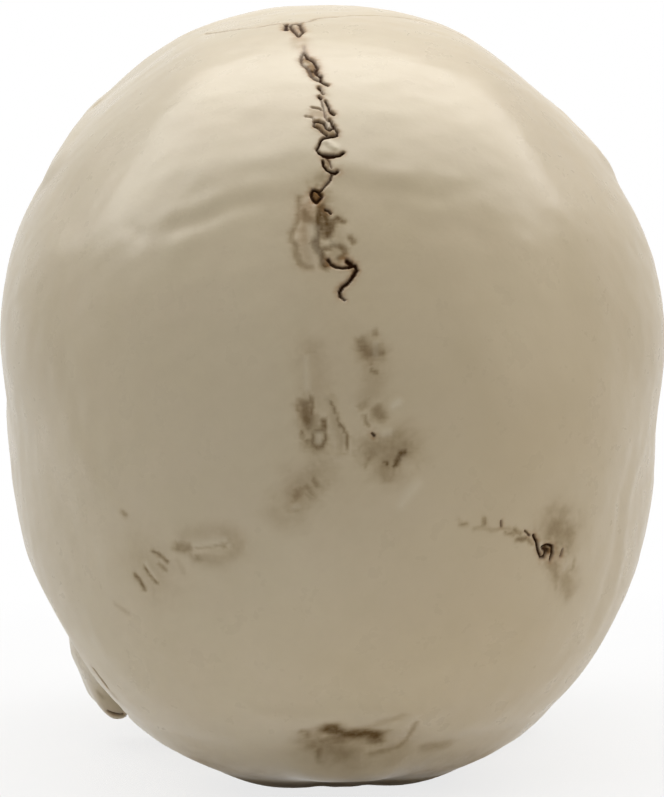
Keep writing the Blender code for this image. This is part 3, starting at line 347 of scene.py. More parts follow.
brown_marks = (
    (38, 0.07, 322, 200, 330, 260, 340, 330, 340, 420, 330, 480),
    # The first row below, along the bottom edge, is painted shade where the skull turns under.
    (12, 0.28, 205, 768, 240, 781, 290, 790, 360, 787, 440, 777, 490, 760), (3.5, 0.2, 293, 23, 297, 28),
    (2.5, 0.28, 297, 36, 293.5, 40, 298, 43.5, 304, 41, 304, 36),
    (3.5, 0.42, 305, 56, 310, 61, 313, 66, 314, 72), (3, 0.28, 322, 86, 325, 92),
    (4, 0.22, 314, 110, 320, 112, 328, 113), (4.5, 0.42, 318, 123, 325, 129, 332, 131),
    (2.5, 0.6, 326, 156, 329, 164), (4, 0.85, 316, 191, 317, 196), (6, 0.3, 322, 176, 316, 186, 326, 197),
    (3, 0.3, 308, 180, 309, 192),
    (3, 0.5, 299, 196, 299.5, 210, 297, 222, 292, 231, 291.5, 238, 295.5, 244, 296, 253, 300, 261, 306, 266,
     311, 266),
    (5.5, 0.4, 304, 208, 307, 218, 316, 221), (4.5, 0.25, 304, 228, 306, 246, 310, 258),
    (3.5, 0.6, 320, 210, 318, 222, 319, 231, 315.5, 239, 316.5, 246, 321, 253, 325, 264),
    (4.5, 0.55, 322, 206, 326, 216, 328, 226, 328, 236), (3, 0.75, 331, 219, 338, 217, 343, 220),
    (2.6, 0.7, 335, 219, 332, 228), (2.2, 0.65, 326, 228, 328, 236),
    (3, 0.65, 322, 248, 329, 248, 333, 244, 340, 245, 345, 250, 343, 255, 338, 257),
    (2.4, 0.6, 350, 236, 353, 240.5), (9, 0.22, 328, 214, 334, 236, 334, 252),
    (2.2, 0.55, 350, 262, 353, 270), (2.6, 0.5, 375, 331, 375.5, 334), (2.5, 0.28, 355, 339, 360, 341),
    (1.6, 0.25, 372, 343, 374, 350), (7, 0.42, 363, 347, 370, 355, 376, 352), (4, 0.25, 362, 359, 384, 359),
    (2.4, 0.6, 371, 370, 376, 372), (11, 0.2, 368, 345, 374, 372, 370, 395),
    (3.4, 0.42, 362, 406, 366, 403), (1.6, 0.5, 364, 416, 366, 422, 369, 427),
    (5.5, 0.36, 377, 410, 380, 416), (2.2, 0.18, 388, 415, 385, 426),
    (13, 0.32, 372, 452, 388, 450, 402, 446, 388, 466),
    (2.4, 0.45, 388, 462, 387, 453, 391, 448.5, 397, 449.5),
    (3, 0.8, 405, 453.5, 401, 454, 398.5, 460, 395, 467.5), (2.2, 0.8, 386, 462.5, 387, 465.5),
    (2.2, 0.5, 369, 458, 366, 468), (3.5, 0.35, 374, 453, 373, 458), (5, 0.3, 383, 472, 387, 480),
    (1.6, 0.22, 416, 455, 418, 470), (3, 0.32, 306, 352.5, 316, 352),
    (14, 0.17, 312, 350, 318, 380, 316, 400), (2.2, 0.62, 303, 401.5, 298.5, 406, 298.5, 411),
    (2.5, 0.65, 311, 396, 311.5, 408, 310, 420), (5.5, 0.46, 304, 404, 306, 418, 309, 428),
    (2.6, 0.7, 324, 421, 324, 432, 326, 438, 322, 447, 316, 448.5, 313, 444, 313, 437, 316, 432, 323, 431),
    (2.4, 0.6, 302, 432, 302.5, 438, 307, 441.5, 313, 442), (9, 0.34, 310, 425, 314, 440, 318, 448),
    (1.5, 0.62, 331, 402, 335, 410, 336.4, 416, 339.3, 424.3, 343.6, 429, 347.5, 437, 347, 446, 345.5, 455),
    (1.2, 0.35, 339.3, 424.3, 343.6, 429), (5, 0.22, 330, 400, 333, 412, 336, 424, 341, 440, 340, 454),
    (2, 0.35, 330.5, 446, 330, 455), (3, 0.2, 334, 428, 333, 442), (3.2, 0.55, 314, 481, 317, 486),
    (2.6, 0.38, 318, 486, 324, 489), (3.4, 0.52, 306.5, 488, 310, 492, 312.5, 498),
    (5.5, 0.38, 300, 493, 295, 498), (15, 0.24, 318, 474, 304, 488, 294, 500),
    (2.4, 0.42, 294, 511.5, 298, 512), (9, 0.16, 300, 518, 284, 522, 276, 512),
    (1.8, 0.42, 122.5, 513.5, 126, 516), (4.2, 0.34, 177, 548, 183, 550.5, 189, 549),
    (6, 0.15, 183, 537, 200, 534, 216, 532),
    (5.5, 0.19, 222, 533, 234, 536, 240, 544, 237, 553, 226, 560, 212, 562, 198, 560),
    (2.4, 0.36, 230, 541, 233, 548), (1.4, 0.5, 196, 549, 208, 548.5, 219, 546.5, 228, 544),
    (2.2, 0.5, 221, 546, 224, 547), (1.8, 0.38, 208, 548.5, 214, 547.5), (3.6, 0.3, 196, 559, 200, 560),
    (11, 0.1, 190, 545, 215, 550, 232, 548), (1.9, 0.62, 152.5, 552.8, 158, 555.5, 163, 559.5, 167, 563),
    (2.2, 0.5, 159, 565.5, 162, 568, 165.5, 572), (1.7, 0.62, 144.5, 569, 150, 577, 156.5, 584.5),
    (2, 0.7, 135.5, 576.5, 139, 581, 142, 586, 144.5, 591), (18, 0.13, 146, 562, 156, 578),
    (3, 0.22, 153, 590, 157, 602), (2.4, 0.22, 178, 562, 183.5, 574),
    (1.6, 0.25, 115, 606, 122, 611, 129, 616), (2, 0.5, 461, 525.7, 466, 525.7),
    (1.6, 0.22, 458, 520, 460, 522), (1.9, 0.55, 484, 520, 484.5, 525),
    (1.6, 0.32, 475, 530, 484, 528.5, 492, 532, 500, 530, 507, 529.5, 513, 532),
    (1.8, 0.55, 505, 534, 513, 536), (2, 0.6, 514, 531, 520, 534.6), (2.1, 0.6, 517, 540.5, 525.5, 540),
    (1.8, 0.5, 528, 541, 532, 545.5), (3.2, 0.8, 546, 550, 551, 552), (1.8, 0.4, 556, 537, 555, 545),
    (14, 0.34, 556, 528, 563, 538), (4, 0.25, 567, 541, 569, 546), (1.5, 0.2, 567, 560, 566, 568),
    (1.8, 0.4, 574.3, 562, 573, 571, 567, 575.7), (5, 0.32, 550, 565, 555, 572, 558, 580),
    (2.6, 0.35, 557.9, 577, 557, 590), (8, 0.26, 566, 580, 570, 590), (3, 0.35, 571, 588, 568, 598),
    (6.5, 0.58, 330, 734, 346, 739, 366, 738, 376, 741), (5, 0.4, 322, 744, 346, 744, 360, 742),
    (4, 0.35, 303.6, 736.4, 309, 742, 313.6, 749, 319, 760), (4, 0.45, 317, 757, 320, 763.6),
    (13, 0.32, 314, 746, 330, 752, 345, 756), (3, 0.3, 370.7, 732, 380, 726, 390.7, 723.6, 402, 719),
    (2.4, 0.42, 369.3, 757.9, 377, 756.4, 388, 754, 399.3, 750.7, 407, 743, 412, 734, 416.4, 726.4),
    (12, 0.14, 384, 740, 400, 745, 398, 765), (5, 0.25, 425, 752, 445, 748),
    (1.5, 0.35, 97.2, 694.4, 100, 697.8, 103, 701), (1.3, 0.25, 107, 690, 111, 695, 116, 701),
    (2, 0.3, 95, 103, 99, 99))
# Painted highlights: paler places where light catches ridges and bumps of the cast
painted_highlight_marks = (
    (4, 0.55, 312, 226, 314, 236), (6, 0.4, 312, 246, 316, 258), (3, 0.6, 327, 121, 329, 125),
    (7, 0.55, 327, 140, 334, 146, 324, 147), (3, 0.4, 334, 242, 328, 240),
    (1.8, 0.75, 375.5, 343, 375.5, 357), (2.4, 0.9, 394, 406, 399, 402), (3, 0.7, 384, 433, 389, 432),
    (2.2, 0.55, 306.5, 357, 307, 388), (3, 0.8, 318.5, 436, 318.5, 441), (2, 0.85, 293, 508, 298, 506),
    (4, 0.6, 401, 505, 410, 492, 418, 484), (3, 0.7, 196, 547, 210, 545.5, 219, 544),
    (2.2, 0.5, 224, 541, 229, 545), (1.6, 0.3, 147, 565, 156, 578), (1.8, 0.85, 541.3, 546, 542, 550),
    (2, 0.4, 567, 566, 565, 572), (3, 0.3, 404, 460, 406, 466),
    (1.8, 0.4, 378, 778, 385, 775, 398, 770, 406, 763), (1.4, 0.3, 96, 668, 99, 671))
pink_marks = (
    (9, 0.6, 308, 204, 306, 216), (7, 0.45, 303, 228, 303, 240), (10, 0.3, 308, 250, 312, 260),
    (4, 0.5, 296, 26, 311, 62, 313, 68), (5, 0.4, 316, 112, 330, 113), (6, 0.3, 368, 354, 372, 358),
    (6, 0.3, 304, 408, 306, 414), (6, 0.25, 297, 495, 293, 500), (5, 0.3, 548, 560, 560, 560))

# Unevenness of the cast in the same way, with its height in mm for the strength
relief_marks = (
    (11.7, -0.18, 250, 124, 262, 130), (10.4, -0.08, 228, 140, 246, 138), (10.4, -0.07, 170, 132, 184, 136),
    (13, -0.2, 370, 135, 394, 136), (10.4, 0.13, 298, 148, 262, 157, 232, 166, 200, 172),
    (9.1, 0.14, 298, 177, 262, 184, 228, 192, 200, 203, 170, 212),
    (7.8, -0.14, 252, 200, 225, 208, 205, 217, 178, 228), (9.1, 0.1, 232, 212, 205, 232, 175, 243),
    (12, 0.05, 175, 243, 128, 252, 80, 256), (5.2, -0.2, 131, 226, 138, 233),
    (10.4, 0.16, 345, 165, 372, 172, 402, 177), (7.8, -0.13, 350, 186, 400, 190, 442, 197),
    (11.7, -0.1, 398, 214, 440, 222, 482, 230), (6.5, 0.08, 370, 249, 408, 251),
    (10.4, -0.12, 570, 156, 582, 172), (11.7, 0.08, 470, 120, 500, 112, 530, 122),
    (6.5, -0.08, 120, 82, 136, 72), (6.5, -0.08, 138, 100, 153, 90), (6.5, -0.07, 100, 132, 119, 116),
    (11.7, -0.1, 30, 242, 76, 226), (7, 0.1, 44, 330, 58, 400, 86, 470, 122, 520),
    (7, -0.08, 60, 330, 74, 400, 102, 470, 140, 520),
    (4, 0.16, 644, 450, 630, 500, 624, 555, 612, 600, 598, 634),
    (4, -0.14, 634, 452, 621, 500, 615, 555, 602, 600, 588, 634),
    (8, 0.12, 600, 480, 560, 470, 520, 480, 470, 505),
    (7, 0.18, 255, 716, 300, 722, 345, 714, 395, 716, 425, 722), (7, -0.2, 308, 736, 345, 738, 378, 738),
    (6, 0.2, 322, 762, 352, 766, 392, 764), (5, -0.18, 303, 737, 313, 752, 320, 766),
    (5, -0.16, 372, 757, 398, 750, 414, 736, 420, 722), (10, 0.14, 585, 652, 550, 680, 510, 712, 455, 738),
    (10, 0.12, 96, 640, 140, 690, 200, 732, 262, 756), (9, 0.12, 268, 520, 232, 528, 198, 532, 172, 545),
    (10, 0.12, 404, 486, 440, 505, 480, 516, 530, 530), (2.2, 0.2, 395, 406, 400, 401),
    (2, 0.14, 375.5, 340, 376, 350, 374, 359), (2.2, 0.13, 306, 355, 306, 372, 307, 390),
    (2.2, 0.13, 326, 394, 333, 402, 337, 418, 345, 430, 347, 446, 343, 458, 333, 456),
    (2.6, 0.2, 289, 514, 293, 508, 299, 506), (3, 0.18, 401, 505, 410, 493, 419, 484),
    (2.4, 0.18, 383, 435, 388, 431), (2.2, -0.16, 331, 432, 331, 452),
    (5, -0.16, 374, 458, 386, 464, 398, 458), (4, -0.14, 302, 408, 306, 424, 312, 442),
    (3, 0.16, 196, 547, 210, 545, 228, 543), (5, -0.14, 200, 558, 222, 560, 238, 550),
    (2.2, 0.16, 148, 566, 157, 579), (4, -0.16, 548, 552, 558, 566, 564, 584),
    (2.5, 0.18, 304, 208, 302, 226, 297, 240), (3, 0.16, 334, 240, 326, 244, 328, 256),
    (2.6, 0.22, 327, 140, 335, 146))

# Sutures and seams that the photograph doesn't show: half width in mm, strength, wiggle in mm, places
hidden_seams = (
    (0.3, 0.55, 0.9, ((0.62, 0.335, 0.79), (0.8, 0.27, 0.62), (0.9, 0.235, 0.42), (0.93, 0.2, 0.27))),
    (0.28, 0.45, 0.5, ((0.93, 0.2, 0.27), (0.96, 0.13, 0.33), (0.98, 0.02, 0.36), (0.98, -0.09, 0.28),
     (0.95, -0.17, 0.13), (0.9, -0.19, 0.03))),
    (0.26, 0.4, 0.4, ((0.93, 0.2, 0.27), (0.86, 0.25, 0.16), (0.78, 0.3, 0.02), (0.7, 0.33, -0.1))),
    (0.24, 0.4, 0.3, ((0.74, 0.375, 0.235), (0.78, 0.345, 0.215), (0.79, 0.315, 0.205))),
    (0.24, 0.35, 0.3, ((0.92, 0.215, -0.02), (0.93, 0.205, -0.06), (0.94, 0.195, -0.09))),
    (0.24, 0.4, 0.3, ((0.46, 0.43, -0.01), (0.5, 0.425, -0.08), (0.56, 0.39, -0.16), (0.58, 0.36, -0.24))))
hidden_middle_seams = (
    (0.24, 0.45, 0.3, ((-0.14, 0.47, 0.245), (0, 0.48, 0.262), (0.14, 0.47, 0.245))),
    (0.22, 0.4, 0.2, ((0, 0.49, 0.24), (0, 0.505, 0.18), (0, 0.512, 0.12))),
    (0.22, 0.35, 0.2, ((0, 0.47, -0.29), (0, 0.468, -0.34), (0, 0.462, -0.4))))

# The back of the mastoid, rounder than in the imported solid
mastoid_back_girth = 0.0046
mastoid_back_shares = ((0.765, -0.125, -0.16), (0.74, -0.12, -0.27), (0.7, -0.122, -0.352))

# Bars laid on after the hollows are cut
late_bar_shares = (
    (0.0042, ((0.035, 0.438, 0.245, 0.95), (0.055, 0.47, 0.172, 0.95), (0.062, 0.49, 0.122, 0.75)), 0.7,
     (1, 0, 0)),
    (0.0032, ((0.945, 0.06, 0.034, 1), (0.915, 0.028, 0.062, 1), (0.88, -0.012, 0.088, 1),
     (0.87, -0.062, 0.094, 0.8)), 0.9, (0, 0, 1)),
    (0.0022, ((0.54, -0.01, -0.17, 1), (0.51, 0.006, -0.29, 0.85), (0.48, 0.024, -0.385, 0.62)), 1,
     (1, 0, 0)))
# Places that are evened out further: middle, reach share, times
soft_places = (
    ((0.86, 0, 0.01), 0.062, 14), ((0.45, 0.35, 0.185), 0.13, 12), ((0, 0.32, -0.02), 0.12, 12),
    ((0, 0.492, 0.13), 0.075, 26))
soft_chin = (((0.15, 0.4, -0.925), 0.12, 170),)

# Grains and reliefs for the looks, in metres
second_skin = 0.0011
jaw_skin = 0.001
line_groove = 0.00055       # depth of the sutures
stain_dip = 0.0001
vault_wave = 0.0002         # unevenness of the vault, and of the whole skin
skin_wave = 0.00003
floor_shade_height = 0.0062      # how far up the painted shade by the table reaches
deepest_hollow = 0.00035    # at which the brown is full
vault_foot = 0.01           # above the ear holes; the vault's unevenness fades out below
vault_fade = 0.03
finer_share = 1.6           # of a mark's half width, and a margin: where the faces get finer
finer_margin = 0.0009

# Smooth unevenness: wave length in metres, seed, share
vault_waves = ((0.022, 1, 0.7), (0.01, 2, 0.25))
skin_waves = ((0.0045, 3, 1),)
edge_waves = ((0.0011, 5, 0.6), (0.0028, 6, 0.7))
floor_shade_waves = ((0.012, 12, 0.0007),)
warm_waves = ((0.07, 9, 0.2),)

# How the marks are laid: widths and strengths of the lines, of the rusty halo round them and of the stains,
# some of them painted shade
pixels_per_mm = 4.7
mark_step = 6               # pixels
dark_spread = 0.8
halo_spread = 2.2
halo_strength = 0.62
brown_spread = 1.15
brown_strength = 1.25
haze_strength = 1.85
least_facing = 0.3          # beyond which marks aren't widened further
mark_fall = 0.8
haze_width = 3.4            # half width in pixels of the stains that are haze
narrow_mark = 0.0008        # metres; such stains and reliefs get finer faces

# The studio's levels. The floor's pairs go from near the skull to far away.
fill_level = 0.015
fill_colour = (0.95, 0.97, 1.0)
floor_size = 3.0
floor_reach = (0.26, 0.64)
floor_paleness = (0.84, 0.12)
floor_whitening = (0.06, 0.36)
floor_clearness = (0.78, 1.0)

# Gloss of the bone plastic: its clear coat weakens at grazing angles
coat_weight = 1.0
coat_edge_weight = 0.25
coat_roughness = 0.26
plastic_ior = 1.33

# Colours
cream = (0.740, 0.634, 0.438)
cream_cloud = (0.690, 0.582, 0.386)
cream_patch = (0.745, 0.624, 0.442)
cream_speck = (0.655, 0.543, 0.370)
warm_cream = (0.710, 0.560, 0.335)
# Painted highlight colour
highlight_cream = (0.840, 0.745, 0.560)
hollow_brown = (0.430, 0.290, 0.140)
pink_brown = (0.600, 0.385, 0.225)
# Colours of the stains, also for the painted shade along the bottom edge
stain_and_shade_edge = (0.440, 0.305, 0.140)
stain_and_shade_deep = (0.165, 0.098, 0.038)
# Rusty halo round the lines; round the painted shadow lines it is painted shade
rust_and_shade_brown = (0.450, 0.230, 0.085)
# Sutures and cracks, and painted shadow lines at the mastoid
line_and_shadow_black = (0.030, 0.010, 0.003)
# Painted shade near the table
floor_shade_brown = (0.160, 0.115, 0.066)
matt_tint = (0.16, 0.10, 0.06)
ivory_light = (0.820, 0.765, 0.640)
ivory_shade = (0.770, 0.700, 0.550)
tooth_streak = (0.640, 0.520, 0.350)
tooth_neck = (0.560, 0.420, 0.250)


def place(share):
    """Metres in the skull's frame from (across, forward, up) shares."""
    rise = vault_height if share[2] > 0 else face_drop
    return Vector((share[0]*half_breadth, share[1]*skull_length, share[2]*rise))


def mirrored(point, side):
    return Vector((point[0]*side, point[1], point[2]))


def spline(points, count, closed=False):
    """A smooth curve through the given rows."""
    rows = np.array(points, float)
    total = len(rows)
    if closed:
        at = np.arange(total)
        before, start, end, after = rows[at-1], rows[at], rows[(at+1) % total], rows[(at+2) % total]
        spans = total
    else:
        padded = np.vstack([2*rows[0]-rows[1], rows, 2*rows[-1]-rows[-2]])
        before, start, end, after = padded[:-3], padded[1:-2], padded[2:-1], padded[3:]
        spans = total-1
    along = np.linspace(0, spans, count, endpoint=not closed)
    span = np.minimum(along.astype(int), spans-1)
    t = (along-span)[:, None]
    a, b, c, d = before[span], start[span], end[span], after[span]
    return 0.5*(2*b+(c-a)*t+(2*a-5*b+4*c-d)*t*t+(3*b-a-3*c+d)*t**3)


def rounded_square(count, squareness):
    angle = np.linspace(0, 2*math.pi, count, endpoint=False)
    across, up = np.cos(angle), np.sin(angle)
    reach = (abs(across)**squareness+abs(up)**squareness)**(-1/squareness)
    return across*reach, up*reach


def ring_body(bm, rings):
    """A closed skin over rings of points, with flat ends."""
    rows = [[bm.verts.new(point) for point in ring] for ring in rings]
    count = len(rows[0])
    for low, high in zip(rows, rows[1:]):
        for k in range(count):
            after = (k+1) % count
            bm.faces.new((low[k], low[after], high[after], high[k]))
    bm.faces.new(rows[0][::-1])
    bm.faces.new(rows[-1])


def swelling(bm, middle, half_sizes, turn_x=0, turn_z=0):
    """A round lump, with its twin where it isn't in the middle."""
    for side in ((1, -1) if middle[0] else (1,)):
        turn = Matrix.Rotation(math.radians(turn_z)*side, 4, "Z")
        turn @= Matrix.Rotation(math.radians(turn_x), 4, "X")
        size = Matrix.Diagonal((*half_sizes, 1))
        bmesh.ops.create_icosphere(bm, subdivisions=3, radius=1,
                                   matrix=Matrix.Translation(mirrored(middle, side)) @ turn @ size)


def bar(bm, points, radii, flatness, wide, count=24, around=16, squareness=2.0):
    """A bar on a smooth path with round ends; radii lie along wide, the other way is flatter."""
    paired = any(point[0] for point in points)
    for side in ((1, -1) if paired else (1,)):
        rows = [[point[0]*side, point[1], point[2], radius] for point, radius in zip(points, radii)]
        smooth = spline(rows, count)
        path, radius = smooth[:, :3], smooth[:, 3]
        run = np.gradient(path, axis=0)
        run /= np.linalg.norm(run, axis=1)[:, None]
        lead = np.array((wide[0]*side, wide[1], wide[2]), float)
        first = lead-(run @ lead)[:, None]*run
        first /= np.linalg.norm(first, axis=1)[:, None]
        second = np.cross(run, first)
        a, b = rounded_square(around, squareness)
        rings = []
        end_angles = np.radians((80, 60, 35))
        stops = [(0, -math.sin(t), math.cos(t)) for t in end_angles]
        stops += [(k, 0, 1) for k in range(count)]
        stops += [(count-1, math.sin(t), math.cos(t)) for t in end_angles[::-1]]
        for k, beyond, shrink in stops:
            r = radius[k]*shrink
            middle = path[k]+run[k]*radius[k]*min(1, flatness)*beyond
            rings.append(middle+first[k]*(a*r)[:, None]+second[k]*(b*r*flatness)[:, None])
        ring_body(bm, rings)


def reach_round(line, pole, turn, outside):
    """How far a (forward, up) line lies from the pole at each angle; outside where it doesn't pass."""
    rows = np.array(line)-np.array(pole)
    angle = np.arctan2(rows[:, 1], rows[:, 0]) % (2*math.pi)
    order = np.argsort(angle)
    reach = np.hypot(*rows.T)[order]
    if outside is None:
        return np.interp(turn, angle[order], reach, period=2*math.pi)
    return np.interp(turn, angle[order], reach, left=outside, right=outside)


def braincase(bm, inset=0, around=96, across=44):
    """The vault's midline outline swells out from the pole to each side; an inset leaves the shell's wall."""
    pole = place((0, *vault_pole_share))[1:]
    turn = np.linspace(0, 2*math.pi, around, endpoint=False)
    outline = spline([place((0, y, z))[1:] for y, z in vault_midline_shares], 400, closed=True)
    reach = reach_round(outline, pole, turn, None)-inset
    if inset:
        floor = spline([place((0, y, z))[1:] for y, z in floor_shares], 200)
        reach = np.minimum(reach, reach_round(floor, pole, turn, overrun))
    half_width = half_breadth-inset
    knots = np.radians([angle for angle, power in vault_squareness_shares])
    powers = np.array([power for angle, power in vault_squareness_shares])
    weight = np.exp(-(np.angle(np.exp(1j*(turn[:, None]-knots)))/squareness_blend)**2)
    power = (weight*powers).sum(axis=1)/weight.sum(axis=1)
    rings = []
    for swing in np.linspace(pole_angle, math.pi-pole_angle, across):
        c, s = math.cos(swing), math.sin(swing)
        r = (abs(c)**power+abs(s)**power)**(-1/power)
        out = s*r*reach
        rings.append(np.c_[half_width*c*r, pole[0]+out*np.cos(turn), pole[1]+out*np.sin(turn)])
    ring_body(bm, rings)


def tunnel(bm, stations, width, height, squareness, axis, count=20, around=24):
    """A hollow along an axis through places that each have their share of the width and height."""
    paired = any(station[0] for station in stations)
    for side in ((1, -1) if paired else (1,)):
        rows = [(*mirrored(place(s), side), s[3]*width/2, s[4]*height/2) for s in stations]
        rings = []
        a, b = rounded_square(around, squareness)
        for x, y, z, w, h in spline(rows, count):
            if axis == "Y":
                rings.append(np.c_[x+a*w, np.full(around, y), z+b*h])
            elif axis == "Z":
                rings.append(np.c_[x+a*w, y+b*h, np.full(around, z)])
            else:
                rings.append(np.c_[np.full(around, x), y+a*w, z+b*h])
        ring_body(bm, rings)


def linked(name, data):
    made = bpy.data.objects.new(name, data)
    bpy.context.scene.collection.objects.link(made)
    return made


def body_from(bm, name):
    bmesh.ops.recalc_face_normals(bm, faces=bm.faces)
    mesh = bpy.data.meshes.new(name)
    bm.to_mesh(mesh)
    bm.free()
    return linked(name, mesh)


def settle(body):
    """Replaces the mesh by what the modifiers make of it."""
    graph = bpy.context.evaluated_depsgraph_get()
    graph.update()
    mesh = bpy.data.meshes.new_from_object(body.evaluated_get(graph))
    body.modifiers.clear()
    old = body.data
    body.data = mesh
    bpy.data.meshes.remove(old)


def fuse(body, grain):
    remesh = body.modifiers.new("fuse", "REMESH")
    remesh.mode = "VOXEL"
    remesh.voxel_size = grain
    settle(body)


def carve(body, cutter):
    cut = body.modifiers.new("carve", "BOOLEAN")
    cut.operation = "DIFFERENCE"
    cut.solver = "EXACT"
    cut.object = cutter
    settle(body)
    bpy.data.objects.remove(cutter)


def rows_of(items, name, width=3, kind=float):
    """A property of many mesh parts at once, a row for each."""
    flat = np.empty(len(items)*width, kind)
    items.foreach_get(name, flat)
    return flat.reshape(-1, width)


def positions(mesh):
    return rows_of(mesh.vertices, "co")


def skin_normals(mesh):
    return rows_of(mesh.vertex_normals, "vector")


def edge_ends(mesh):
    return rows_of(mesh.edges, "vertices", 2, np.int64)


def move_to(body, points):
    body.data.vertices.foreach_set("co", points.ravel())
    body.data.update()


def neighbour_mean(values, ends):
    """The mean of each point's neighbours, for one number a point."""
    sums = np.bincount(ends[:, 0], weights=values[ends[:, 1]], minlength=len(values))
    sums += np.bincount(ends[:, 1], weights=values[ends[:, 0]], minlength=len(values))
    return sums/np.bincount(ends.ravel(), minlength=len(values))


def by_columns(work, rows, *values):
    """Works on x, y and z in turn."""
    return np.array([work(rows[:, k], *values) for k in range(3)]).T


def relax(body, times):
    """Evens the skin out without shrinking it: towards the neighbours' mean, then back."""
    points, ends = positions(body.data), edge_ends(body.data)
    for turn in range(times):
        for share in (0.5, -0.53):
            points = points+share*(by_columns(neighbour_mean, points, ends)-points)
    move_to(body, points)


def distance_to(points, path):
    """How far each point lies from a polyline, or from a single place."""
    nearest = np.full(len(points), np.inf)
    for start, end in zip(path, path[1:] if len(path) > 1 else path):
        run = end-start
        t = np.clip((points-start) @ run/max(run @ run, 1e-14), 0, 1)
        nearest = np.minimum(nearest, np.linalg.norm(points-start-t[:, None]*run, axis=1))
    return nearest


def folded(points):
    """Both sides on the right one."""
    return np.c_[abs(points[:, 0]), points[:, 1:]]


def stroke(body, strokes):
    """Raises or sinks the skin along paths, alike on both sides."""
    body.data.update()
    points, normals = positions(body.data), skin_normals(body.data)
    for name, path_shares, reach_share, push_share in strokes:
        path = np.array([place(p) for p in path_shares])
        if len(path) > 2:
            path = spline(path, 4*len(path))
        d = distance_to(folded(points), path)/(reach_share*skull_length)
        weight = np.where(d < 1, (1-d*d)**2, 0)
        points = points+normals*(weight*push_share*skull_length)[:, None]
    move_to(body, points)


def lay_bars(bm, rows):
    """Puts down bars from the rows of a table."""
    for girth, stations, flatness, wide in rows:
        bar(bm, [place(s) for s in stations], [girth*s[3] for s in stations], flatness, wide)


def add_clay(bm, rounds, lengths, ridge_shares, ridge_girth, ridge_flatness):
    """Puts down the swellings, the bars and a tooth ridge, to be fused into one skin."""
    for middle, sizes, turn_x, turn_z in rounds.values():
        swelling(bm, place(middle), [s*skull_length for s in sizes], turn_x, turn_z)
    lay_bars(bm, lengths.values())
    ridge = [place(p) for p in ridge_shares]
    bar(bm, ridge, [ridge_girth]*len(ridge), ridge_flatness, (0, 0, 1))


def add_box(bm, low, high):
    box = Matrix.Translation((low+high)/2) @ Matrix.Diagonal((*(high-low), 1))
    bmesh.ops.create_cube(bm, size=1, matrix=box)


def trim(body, low, high, name):
    """Takes away what lies in a box."""
    cut = bmesh.new()
    add_box(cut, low, high)
    carve(body, body_from(cut, name))


def hollow(body, name, *tunnels):
    """Cuts tunnels out of a body in one go."""
    cut = bmesh.new()
    for values in tunnels:
        tunnel(cut, *values)
    carve(body, body_from(cut, name))


def tooth_rows(ridge_shares, widths):
    """Where each tooth of one side stands: its middle, its direction along the ridge, and its width."""
    path = spline([place(p) for p in ridge_shares], 400)[:, :2]
    steps = np.hypot(*np.diff(path, axis=0).T)
    run = np.concatenate(([0], np.cumsum(steps)))
    scale = run[-1]/sum(widths)
    rows = []
    start = 0
    for width in widths:
        share = width*scale
        middle = [np.interp(start+share/2, run, path[:, k]) for k in (0, 1)]
        before = np.array([np.interp(start, run, path[:, k]) for k in (0, 1)])
        after = np.array([np.interp(start+share, run, path[:, k]) for k in (0, 1)])
        chord = after-before
        reach = np.linalg.norm(chord)
        rows.append((middle, chord/reach, reach-piece_gap))
        start += share
    return rows


def round_bar(name, profile, y, z, side):
    """A turned body along X from (place, radius) pairs."""
    angle = np.linspace(0, 2*math.pi, screw_sides, endpoint=False)
    rings = []
    for x, radius in profile:
        rings.append(np.c_[np.full(screw_sides, x*side), y+radius*np.cos(angle), z+radius*np.sin(angle)])
    bm = bmesh.new()
    ring_body(bm, rings)
    return body_from(bm, name)


def spring_path(top, bottom):
    """The wire of an extension spring in the YZ plane of its two pins, looped round each pin."""
    span = (top-bottom).length
    down = (bottom-top).normalized()
    back = Vector((0, down.z, -down.y))
    across = Vector((1, 0, 0))
    body_length = coil_turns*coil_pitch
    lead = (span-body_length)/2
    axis = top+back*loop_radius

    def at(along, turn, radius):
        return axis+down*along+(back*math.cos(turn)+across*math.sin(turn))*radius

    def around_pin(pin, turn, way):
        return pin+back*loop_radius*math.cos(turn)+down*way*loop_radius*math.sin(turn)

    loop = [math.radians(loop_sweep)*k/loop_points for k in range(loop_points, 0, -1)]
    ease_rise = ease_share*lead
    points = []
    end_turn = loop[0]
    first = around_pin(top, end_turn, -1)
    points.append(first+(back*-math.sin(end_turn)-down*math.cos(end_turn))*2*wire_radius)
    points += [around_pin(top, turn, -1) for turn in loop]
    points.append(axis.copy())
    points.append(axis+down*(lead-ease_rise))
    for k in range(1, ease_points+1):
        share = k/ease_points
        turn = -math.pi*(1-share)*ease_turns
        points.append(at(lead-ease_rise*(1-share), turn, coil_radius*share))
    for k in range(1, coil_turns*curl_points):
        points.append(at(lead+body_length*k/(coil_turns*curl_points), 2*math.pi*k/curl_points, coil_radius))
    for k in range(ease_points+1):
        share = k/ease_points
        turn = math.pi*share*ease_turns
        points.append(at(lead+body_length+ease_rise*share, turn, coil_radius*(1-share)))
    points.append(axis+down*span)
    points += [around_pin(bottom, turn, 1) for turn in loop[::-1]]
    last = around_pin(bottom, end_turn, 1)
    points.append(last+(back*-math.sin(end_turn)+down*math.cos(end_turn))*2*wire_radius)
    return points


# How the skull stands
stand_tilt = math.radians(25.87604)
hinge_at = Vector(frame["joints"][0]["pos_m"])
tip_back = Matrix.Rotation(stand_tilt, 4, "X")
to_world = Matrix.Translation(hinge_at-tip_back @ place(jaw_hinge_share)) @ tip_back


